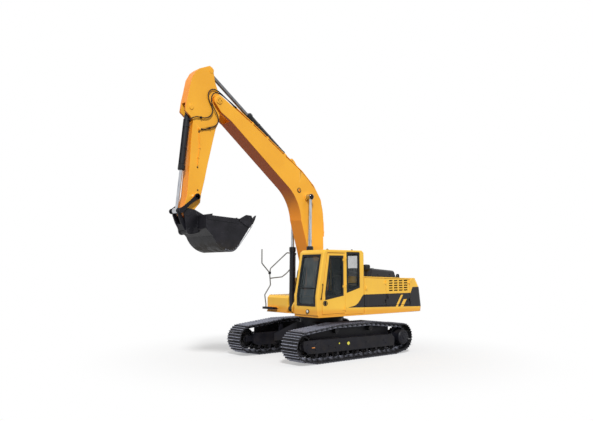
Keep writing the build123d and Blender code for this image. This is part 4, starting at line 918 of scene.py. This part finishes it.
def ferrule(shape, start, end, radius=0.019):
    """The crimped steel end of a hose, with its nut."""
    start, end = Vector(start), Vector(end)
    middle = start.lerp(end, 0.62)
    put_in(shape, rod(start, middle, radius, 16, 0.0015))
    put_in(shape, rod(middle, end, radius * 1.18, 6, 0.001))


def bending(part, name, node):
    """A hose across the joint between two bodies, made as one piece that rides no body and keeps its rest
    shape.
    """
    made = fitting(part, name, None, "hose_rubber", 60)
    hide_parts(node)
    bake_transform(made)


def hoses():
    """Hoses across the joints, fixed in their rest shape, their crimped ends and their clamps."""
    for name, keep, bodies, start, end in (
            ("upper", (-1, 0, 0), ("boom", "stick"), STICK_TURN_START, STICK_TURN_END),
            ("lower", (1, 0, 0), ("stick", "bucket_ram_barrel"), (4.22, 0.184, 6.10), (4.47, 0.184, 6.03))):
        part = cut_off(hose_line("bucket_hose", bucket_hose_route), HOSE_CLAMP, keep)
        bending(part, "bucket_hose_" + name, "bucket_hose")
    bending(hose_line("stick_hose", stick_hose_route), "stick_hose_bent", "stick_hose")
    for name, side in (("left", 1), ("right", -1)):
        part = hose_line("ram_hose", [(x, side * y, z) for x, y, z in ram_hose_side])
        bending(part, "stick_ram_hose_" + name, "stick_ram_hoses")
    ends = bmesh.new()
    ferrule(ends, (3.206, 0.1766, 6.5497), (3.1509, 0.176, 6.5106))
    ferrule(ends, (3.207, 0.2128, 6.5455), (3.1509, 0.212, 6.5106))
    for side in (-1, 1):
        ferrule(ends, (0.088, side * 0.1208, 3.912), (0.092, side * 0.12, 3.8511))
        for x_span, y, z_span in (((0.100, 0.160), 0.124, (4.180, 4.214)),
                                  ((0.330, 0.372), 0.127, (4.560, 4.640))):
            put_in(ends, box(x_span, (side * y - 0.026, side * y + 0.026), z_span, 0.004))
    fitting(ends, "boom_hose_ends", "boom", "dark_paint")
    ends = bmesh.new()
    ferrule(ends, (4.128, 0.171, 5.819), (4.189, 0.171, 5.815))
    put_in(ends, box((4.172, 4.208), (0.150, 0.206), (6.078, 6.126), 0.004))
    put_in(ends, bolt((4.190, 0.206, 6.102), (0, 1, 0), 0.010, 0.008))
    put_in(ends, box((3.914, 3.946), (0.150, 0.196), (5.852, 5.898), 0.004))
    fitting(ends, "stick_hose_ends", "stick", "dark_paint")
    port = bmesh.new()
    ferrule(port, (4.484, 0.128, 6.016), (4.484, 0.098, 6.016), 0.020)
    fitting(port, "bucket_ram_port_nut", "bucket_ram_barrel", "dark_paint")


hoses()


def framed(points, plane_at, depth, across=0.045, corner=0.05, plane="xz"):
    """A flat frame inside an outline, with round inner corners, from plane_at to depth."""
    lap = 0.006
    middle = [sum(spot[k] for spot in points) / len(points) for k in (0, 1)]
    wide = [tuple(v + (lap if v > m else -lap) for v, m in zip(spot, middle)) for spot in points]
    part = outlined(wide, plane_at, plane)
    part.normal_update()
    face = part.faces[:][0]
    bmesh.ops.inset_individual(part, faces=[face], thickness=across + lap, use_even_offset=True)
    bmesh.ops.bevel(part, geom=list(face.verts), offset=corner, offset_type="OFFSET", segments=4,
                    profile=0.5, affect="VERTICES", clamp_overlap=True, material=-1)
    hole = max(part.faces, key=lambda each: len(each.verts))
    bmesh.ops.delete(part, geom=[hole], context="FACES_ONLY")
    return thickened(part, depth - plane_at, plane)


side_window = [(-0.110, 1.885), (0.380, 1.755), (0.380, 2.825), (-0.110, 2.825)]
right_window = [(0.120, 1.700), (1.180, 1.640), (1.010, 2.800), (0.120, 2.800)]
rear_window = [(0.620, 1.950), (1.270, 1.950), (1.270, 2.790), (0.620, 2.790)]
windscreen = [(0.600, 1.430), (1.305, 1.430), (1.305, 2.755), (0.600, 2.755)]
SCREEN_FRONT = 1.394
SCREEN_BEND = 1.70
SCREEN_RAKE = 0.1928
SIDE_SEAL = (1.372, 1.4135)


def follow_screen(part):
    """Brings an upright flat shape at x 0 onto the windscreen, whose upper part is raked."""
    bmesh.ops.bisect_plane(part, geom=part.verts[:] + part.edges[:] + part.faces[:],
                           plane_co=(0, 0, SCREEN_BEND), plane_no=(0, 0, 1))
    for spot in part.verts:
        spot.co.x += SCREEN_FRONT - max(0.0, spot.co.z - SCREEN_BEND) * SCREEN_RAKE
    return part


def window_seals():
    """Black seals round the panes, the bar between the windscreen's panes, and its wiper."""
    seals = framed(side_window, *SIDE_SEAL)
    put_in(seals, framed(right_window, 0.518, 0.4765))
    put_in(seals, framed(rear_window, -0.240, -0.2835, plane="yz"))
    screen = framed(windscreen, 0.0, 0.040, 0.050, 0.060, "yz")
    put_in(screen, box((0.004, 0.034), (0.620, 1.285), (1.876, 1.902), 0.002))
    put_in(seals, follow_screen(screen))
    fitting(seals, "window_seals", "house", "black_plastic")
    fitting(framed(door_window, *SIDE_SEAL), "door_seal", "cab_door", "black_plastic")
    wiper = rod((0.046, 0.700, 1.440), (0.052, 0.760, 2.150), 0.006, 8)
    put_in(wiper, box((0.036, 0.048), (0.752, 0.766), (1.910, 2.420), 0.002))
    put_in(wiper, rod((0.030, 0.700, 1.440), (0.062, 0.700, 1.440), 0.016, 12, 0.003))
    fitting(follow_screen(wiper), "screen_wiper", "house", "black_plastic")


window_seals()


def cab_fittings():
    """Door handle, grab handles, roof vents, work lamp's lens and the screen by the seat."""
    dish = [(0.0, -0.020), (0.047, -0.020), (0.047, 0.003), (0.030, 0.005), (0.026, -0.008), (0.0, -0.008)]
    handle = turned(dish, (1.167, HOUSE_SIDE, 1.500), (0, 1, 0))
    put_in(handle, box((1.140, 1.194), (1.398, 1.412), (1.488, 1.512), 0.004))
    ring = [(0.050, 0.0), (0.050, 0.004), (0.066, 0.004), (0.068, 0.0), (0.050, 0.0)]
    bezel = turned(ring, (0, 0, 0), (0, 1, 0), 40)
    place = Matrix.Translation((1.167, 1.4098, 1.500)) @ Matrix.Diagonal((1.25, 1, 1, 1))
    bmesh.ops.transform(bezel, matrix=place, verts=bezel.verts)
    put_in(handle, bezel)
    fitting(handle, "door_handle", "cab_door", "black_plastic")
    grab = bmesh.new()
    for x, y, low, high, lean, away in (
            (1.395, 0.500, 1.76, 2.34, SCREEN_RAKE, Vector((0.04, 0, 0))),
            (1.310, 1.418, 1.62, 1.98, SCREEN_RAKE * 0.9, Vector((0, 0.012, 0)))):
        foot, top = (Vector((x - (z - SCREEN_BEND) * lean, y, z)) for z in (low, high))
        for end in (foot, top):
            put_in(grab, rod(end, end + away, 0.011, 12))
            put_in(grab, rod(end - away * 0.1, end + away * 0.15, 0.024, 16, 0.003))
        put_in(grab, rod(foot + away, top + away, 0.011, 12, 0.003))
    fitting(grab, "grab_handles", "house", "black_plastic", 40)
    roof = bmesh.new()
    for x, radius in ((0.870, 0.032), (-0.060, 0.028)):
        vent = [(0.0, 0.0), (radius, 0.0), (radius, 0.012), (radius * 0.7, 0.030), (0.0, 0.036)]
        put_in(roof, turned(vent, (x, 1.180, 2.883), (0, 0, 1), 20))
    fitting(roof, "roof_vents", "house", "black_plastic", 50)
    dome = [(0.0, 0.016), (0.022, 0.014), (0.038, 0.006), (0.042, -0.002), (0.0, -0.002)]
    piece(turned(dome, (1.447, 1.032, 1.289), (1, 0, 0), 28), "work_lamp_lens", lamp_lens, "house",
          60)
    screen = box((1.02, 1.06), (1.265, 1.345), (1.86, 2.06), 0.008)
    put_in(screen, rod((1.05, 1.305, 1.70), (1.04, 1.305, 1.87), 0.012, 10))
    fitting(screen, "cab_monitor", "house", "black_plastic")


cab_fittings()


SIMULATED_FRAMES = 20


def padding(name, part, cap):
    """A cushion: a closed shape blown up by a short cloth simulation, by no more than cap."""
    made = shown(name, as_mesh(name, rounded(part, 0.022, segments=3)))
    grid = made.modifiers.new("even_mesh", "REMESH")
    grid.mode = "VOXEL"
    grid.voxel_size = 0.006
    settled(made)
    rest = [spot.co.copy() for spot in made.data.vertices]
    blown = made.modifiers.new("blown", "CLOTH")
    blown.settings.use_pressure = True
    blown.settings.uniform_pressure_force = 4.0
    blown.settings.effector_weights.gravity = 0
    blown.point_cache.frame_start = 1
    blown.point_cache.frame_end = SIMULATED_FRAMES
    for step in range(1, SIMULATED_FRAMES + 1):
        bpy.context.scene.frame_set(step)
    settled(made)
    bpy.context.scene.frame_set(1)
    for spot, start in zip(made.data.vertices, rest):
        swell = spot.co - start
        if swell.length > cap:
            spot.co = start + swell.normalized() * cap
    return made


def settled(made):
    """Applies what the modifiers do to the mesh."""
    depth = bpy.context.evaluated_depsgraph_get()
    shaped = bpy.data.meshes.new_from_object(made.evaluated_get(depth))
    made.modifiers.clear()
    made.data = shaped


def sewn(made, lines):
    """Presses sewn channels into a cushion: columns are axis, place."""
    depth, half = 0.007, 0.010
    for axis, place in lines:
        for spot in made.data.vertices:
            near = abs(spot.co[axis] - place) / half
            if near < 2.5:
                spot.co -= spot.normal * depth * 2.718 ** (-near * near)


def seat():
    """The operator's seat: two cushions and a head rest on a bellows."""
    y_low, y_high = CAB_MIDDLE - 0.245, CAB_MIDDLE + 0.245
    channels = [(1, y_low + 0.12), (1, y_high - 0.12)]
    pads = [
        ("seat_cushion", [(0.135, 1.552), (0.620, 1.548), (0.628, 1.640), (0.250, 1.648), (0.135, 1.640)],
         (y_low, y_high), 0.014, [*channels, (0, 0.30), (0, 0.46)]),
        ("seat_back", [(0.130, 1.680), (0.254, 1.680), (0.165, 2.215), (0.062, 2.215)],
         (y_low + 0.01, y_high - 0.01), 0.014, [*channels, (2, 1.86), (2, 2.04)]),
        ("head_rest", [(0.072, 2.250), (0.140, 2.250), (0.118, 2.400), (0.056, 2.400)],
         (CAB_MIDDLE - 0.118, CAB_MIDDLE + 0.118), 0.010, []),
    ]
    for name, outline, span, cap, lines in pads:
        made = padding(name, plate(outline, *span, 0.0), cap)
        sewn(made, lines)
        made.data.shade_smooth()
        made.data.materials.append(finish["seat_fabric"])
        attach(made, "house")
        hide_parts("operator_seat")
    base = bmesh.new()
    for fold in range(6):
        inset, foot = 0.010 * (fold % 2), 1.240 + fold * 0.048
        half = 0.19 - inset
        put_in(base, box((0.165 + inset, 0.545 - inset), (CAB_MIDDLE - half, CAB_MIDDLE + half),
                         (foot, foot + 0.048), 0.006))
    put_in(base, box((0.130, 0.600), (y_low + 0.01, y_high - 0.01), (1.526, 1.548), 0.006))
    for y in (CAB_MIDDLE - 0.06, CAB_MIDDLE + 0.06):
        put_in(base, rod((0.112, y, 2.19), (0.100, y, 2.28), 0.007, 8))
    piece(base, "seat_base", finish["black_plastic"], "house")


seat()


# Details of the arm

def ram_line(base, eye, y):
    """The start of a ram and its direction."""
    start = Vector((base[0], y, base[1]))
    return start, (Vector((eye[0], y, eye[1])) - start).normalized()


def collar(shape, start, along, at, length, radius, bore=0.060):
    """A ring round a ram's barrel, open where the rod runs."""
    edge = 0.004
    profile = [(bore, 0), (radius - edge, 0), (radius, edge), (radius, length - edge),
               (radius - edge, length), (bore, length), (bore, 0)]
    put_in(shape, turned(profile, start + along * at, along, 40))


def gland(shape, start, along, at, radius, bore):
    """The thick end of a barrel: its collar, a lip and eight bolts."""
    collar(shape, start, along, at, 0.105, radius, bore)
    collar(shape, start, along, at + 0.105, 0.018, radius * 0.84, bore)
    bolt_ring(shape, start + along * (at + 0.105), along, radius * 0.90, 8, 0.009, 0.009)


def lug(shape, middle, half, radius, steps, width):
    """A short bar that reaches by half to both sides of its middle."""
    put_in(shape, rod(middle - half, middle + half, radius, steps, width))


def pipe_along(shape, start, along, away, low, high, radius):
    """A thin pipe beside a ram, over a part of its length."""
    put_in(shape, rod(start + along * low + away, start + along * high + away, radius, 12))


def boom_ram_details(name, y):
    """One boom ram's sleeve, gland, clamps and pipe."""
    start, along = ram_line(BOOM_RAM_BASE, BOOM_RAM_EYE, y)
    shape = bmesh.new()
    collar(shape, start, along, 0.24, 1.34, 0.082)
    gland(shape, start, along, 1.618, 0.094, 0.050)
    for at in (0.42, 1.02):
        collar(shape, start, along, at, 0.030, 0.088)
    put_in(shape, box((0.640, 0.688), (y - 0.03, y + 0.03), (2.78, 2.84), 0.006))
    put_in(shape, rod((0.664, y, 1.62), (0.656, y, 2.80), 0.012, 12))
    piece(shape, "boom_ram_fittings_" + name, ram_paint, "boom_ram_barrels", 40)


def stick_ram_details():
    """The stick ram's sleeve, gland and clips, its pipe and the pipe's nut."""
    start, along = ram_line(STICK_RAM_BASE, STICK_RAM_EYE, 0.0)
    aside = Vector((-along.z, 0, along.x))
    shape = bmesh.new()
    collar(shape, start, along, 0.20, 1.46, 0.083)
    gland(shape, start, along, 1.700, 0.102, 0.053)
    for at in (0.30, 0.92, 1.36):
        collar(shape, start, along, at, 0.034, 0.090)
        lug(shape, start + along * (at + 0.017) + aside * 0.095, along * 0.017, 0.022, 12, 0.002)
    pipe_along(shape, start, along, aside * 0.098, 0.28, 1.72, 0.012)
    lug(shape, start + along * 1.74 + aside * 0.100, along * 0.04, 0.032, 8, 0.003)
    piece(shape, "stick_ram_fittings", ram_paint, "stick_ram_barrel", 40)


def bucket_ram_details():
    """The bucket ram's sleeve, gland, clamps with bolts on both sides, and pipe."""
    start, along = ram_line(BUCKET_RAM_BASE, BUCKET_RAM_EYE, 0.0)
    aside = Vector((-along.z, 0, along.x))
    shape = bmesh.new()
    collar(shape, start, along, 0.20, 1.22, 0.073)
    gland(shape, start, along, 1.452, 0.088, 0.045)
    for at in (0.455, 1.000):
        collar(shape, start, along, at, 0.036, 0.082)
        for y in (-0.088, 0.088):
            ear = start + along * (at + 0.018) + Vector((0, y, 0))
            lug(shape, ear, along * 0.018, 0.014, 8, 0.002)
    pipe_along(shape, start, along, aside * 0.084, 0.30, 1.47, 0.011)
    piece(shape, "bucket_ram_fittings", ram_paint, "bucket_ram_barrel", 40)


boom_ram_details("left", 0.370)
boom_ram_details("right", -0.370)
stick_ram_details()
bucket_ram_details()


def pin_cap(shape, spot, y, radius, height):
    """A pin's end plate on the outside of a joint, with three bolts."""
    side = 1 if y > 0 else -1
    low, high = sorted((y - side * 0.002, y + side * height))
    put_in(shape, rod((spot[0], low, spot[1]), (spot[0], high, spot[1]), radius, 32, 0.003))
    head = (spot[0], y + side * height, spot[1])
    bolt_ring(shape, head, (0, side, 0), radius * 0.55, 3, radius * 0.16, 0.007)


def arm_details():
    """End plates of the pins, grease ring, bolts and the thin pipe along the stick."""
    caps = {body: bmesh.new() for body in ("boom", "stick", "bucket_levers", "boom_ram_rods")}
    grease_ring = [(0.047, 0.0), (0.047, 0.010), (0.055, 0.016), (0.068, 0.010), (0.068, 0.0), (0.047, 0.0)]
    for side in (-1, 1):
        tip = (BOOM_TIP[0], side * 0.272, BOOM_TIP[1])
        bolt_ring(caps["boom"], tip, (0, side, 0), 0.045, 4, 0.011, 0.008)
        pin_cap(caps["boom_ram_rods"], BOOM_RAM_EYE, side * 0.425, 0.062, 0.020)
        eye = [(BOOM_RAM_EYE[0], side * y, BOOM_RAM_EYE[1]) for y in (0.300, 0.428)]
        put_in(caps["boom_ram_rods"], rod(*eye, 0.078, 36, 0.004))
        pin_cap(caps["bucket_levers"], LEVER_PIVOT, side * 0.250, 0.078, 0.012)
        put_in(caps["boom"], turned(grease_ring, (1.042, side * 0.240, 4.551), (0, side, 0), 28))
        for x, z in ((4.227, 5.740), (4.255, 4.861), (4.240, 4.297)):
            put_in(caps["stick"], bolt((x, side * 0.150, z), (0, side, 0), 0.019, 0.016))
    for body, shape in caps.items():
        fitting(shape, "pin_caps_" + body, body, "dark_paint", 40)
    pipe = bmesh.new()
    run = [(4.222, 0.160, 5.700), (4.203, 0.160, 5.345), (4.240, 0.160, 5.100), (4.253, 0.160, 4.905)]
    for first, second in zip(run, run[1:]):
        put_in(pipe, rod(first, second, 0.0085, 10))
    for x, z in ((4.2035, 5.345), (4.240, 5.100)):
        put_in(pipe, box((x - 0.020, x + 0.020), (0.148, 0.172), (z - 0.014, z + 0.014)))
    fitting(pipe, "stick_grease_pipe", "stick", "arm_paint", 40)


arm_details()


def bucket_details():
    """Bolts of the side cutters, bars under the teeth, and the weld and bolts along the sides' rims."""
    shape = bmesh.new()
    cutter_bolts = [(3.300, 3.560), (3.180, 3.640), (3.030, 3.660), (2.940, 3.580), (3.020, 3.470),
                    (3.150, 3.480)]
    for side in (-1, 1):
        for x, z in cutter_bolts:
            put_in(shape, bolt((x, side * 0.622, z), (0, side, 0), 0.020, 0.014))
    lip, lift = Vector((2.880, 0, 3.575)), Vector((-0.58, 0, 0.815)).normalized() * 0.005
    for tooth in range(5):
        middle = lip + Vector((0, (tooth - 2) * 0.2725, 0)) + lift
        lug(shape, middle, Vector((0, 0.062, 0)), 0.020, 12, 0.002)
    fitting(shape, "bucket_bolts", "bucket", "bucket_steel", 40)
    strip = bmesh.new()
    rim = [(2.905, 3.470), (3.100, 3.215), (3.300, 2.965), (3.430, 2.850), (3.560, 2.812), (3.720, 2.850)]
    for y, out in ((-0.600, (0, -1, 0)), (0.600, (0, 1, 0))):
        for (ax, az), (bx, bz) in zip(rim, rim[1:]):
            put_in(strip, rod((ax, y, az), (bx, y, bz), 0.008, 8))
            for share in (0.25, 0.75):
                spot = (ax + (bx - ax) * share + 0.022, y, az + (bz - az) * share + 0.022)
                put_in(strip, bolt(spot, out, 0.010, 0.008))
    piece(strip, "bucket_edge_weld", worn_steel, "bucket", 40)


bucket_details()


# Details of the house and of the tracks

def house_details():
    """Hood ribs and handles, latches, the step's grating and the rails' clamp."""
    hood = bmesh.new()
    for y in (-0.20, 0.20):
        put_in(hood, box((-1.98, -1.46), (y - 0.035, y + 0.035), (2.398, 2.411), 0.004))
    for x in (-1.45, -1.98):
        put_in(hood, box((x - 0.05, x + 0.05), (0.892, 0.906), (2.20, 2.23), 0.005))
    piece(hood, "hood_ribs", finish["hood_paint"], "engine_hood", 40)
    for door, x, side, z in (("battery", -0.38, 1, 1.86), ("pump", PUMP_LATCH_X, -1, 1.70),
                             ("radiator", -1.29, 1, 1.60)):
        y = side * HOUSE_SIDE
        latch = box((x - 0.035, x + 0.035), sorted((y - side * 0.001, y + side * 0.008)),
                    (z - 0.055, z + 0.055))
        put_in(latch, box((x - 0.018, x + 0.018), sorted((y, y + side * 0.016)),
                          (z - 0.040, z + 0.020), 0.004))
        fitting(latch, door + "_latch", door + "_door", "house_paint", 40)
    step = bmesh.new()
    for bar in range(9):
        x = 0.905 + bar * 0.0155
        put_in(step, box((x - 0.004, x + 0.004), (-1.385, -0.905), (1.240, 1.290), 0.001))
    for y in (-1.388, -1.145, -0.902):
        put_in(step, box((0.895, 1.036), (y - 0.005, y + 0.005), (1.236, 1.292), 0.001))
    put_in(step, box((1.030, 1.042), (-1.393, -0.897), (1.230, 1.294)))
    fitting(step, "step_grating", "house", "dark_paint", 40)
    clamp = box((0.818, 0.882), (-1.332, -1.268), (2.232, 2.308), 0.010)
    put_in(clamp, bolt((0.85, -1.268, 2.27), (0, 1, 0), 0.014, 0.012))
    fitting(clamp, "rail_clamp", "house", "black_plastic", 40)
    tread = bmesh.new()
    for column in range(12):
        for row in range(5):
            x, y = 0.10 + column * 0.062, -1.30 + row * 0.16
            put_in(tread, rod((x, y, 1.634), (x, y, 1.640), 0.011, 8))
    fitting(tread, "tool_box_tread", "house", "dark_paint", 40)


house_details()


def track_details():
    """Dark webs between the carrier rollers that fill the gap under the top runs as painted shade, drive
    bolts, reflectors and fittings on the track frames.
    """
    # painted shade: dark plates closing the gap between the frame and the top run of the shoes
    shade_web = [(-1.49, 0.50), (1.49, 0.50), (1.49, 0.758), (0.66, 0.846), (-0.66, 0.846), (-1.49, 0.758)]
    nose = [(1.40, 0.262), (1.78, 0.275), (1.92, 0.36), (1.95, 0.46), (1.94, 0.598), (1.40, 0.598)]
    # columns: x, z and how far out from the machine's middle
    frame_bolts = [(0.83, 0.356, 1.445), (-1.114, 0.344, 1.445)]
    frame_bolts += [(x, z, 1.454) for x in (1.53, 1.81) for z in (0.36, 0.51)]
    shape, lenses, amber = bmesh.new(), bmesh.new(), bmesh.new()
    for side in (-1, 1):
        y = side * TRACK_Y
        put_in(shape, plate(shade_web, y - 0.012, y + 0.012))
        put_in(shape, plate(nose, *sorted((side * 1.430, side * 1.448)), 0.004))
        put_in(shape, box((1.50, 1.84), sorted((side * 1.446, side * 1.454)), (0.33, 0.54), 0.004))
        for x in (-1.05, -0.35, 0.35, 1.05):
            put_in(shape, box((x - 0.05, x + 0.05), sorted((side * 1.444, side * 1.452)), (0.40, 0.44)))
        bolt_ring(shape, (-1.825, side * 1.515, 0.448), (0, side, 0), 0.148, 12, 0.013, 0.010)
        for x, z, out in frame_bolts:
            put_in(shape, bolt((x, side * out, z), (0, side, 0), 0.017, 0.012))
        for x, z, radius in ((0.374, 0.437, 0.044), (0.709, 0.462, 0.020)):
            put_in(lenses, rod((x, side * 1.443, z), (x, side * 1.455, z), radius, 24, 0.003))
        put_in(amber, box((1.575, 1.675), sorted((side * 1.452, side * 1.462)), (0.408, 0.434)))
    fitting(shape, "track_frame_fittings", "undercarriage", "dark_paint", 40)
    piece(lenses, "reflectors", reflector_lens, "undercarriage", 40)
    piece(amber, "amber_reflectors", amber_lens, "undercarriage", 40)


track_details()
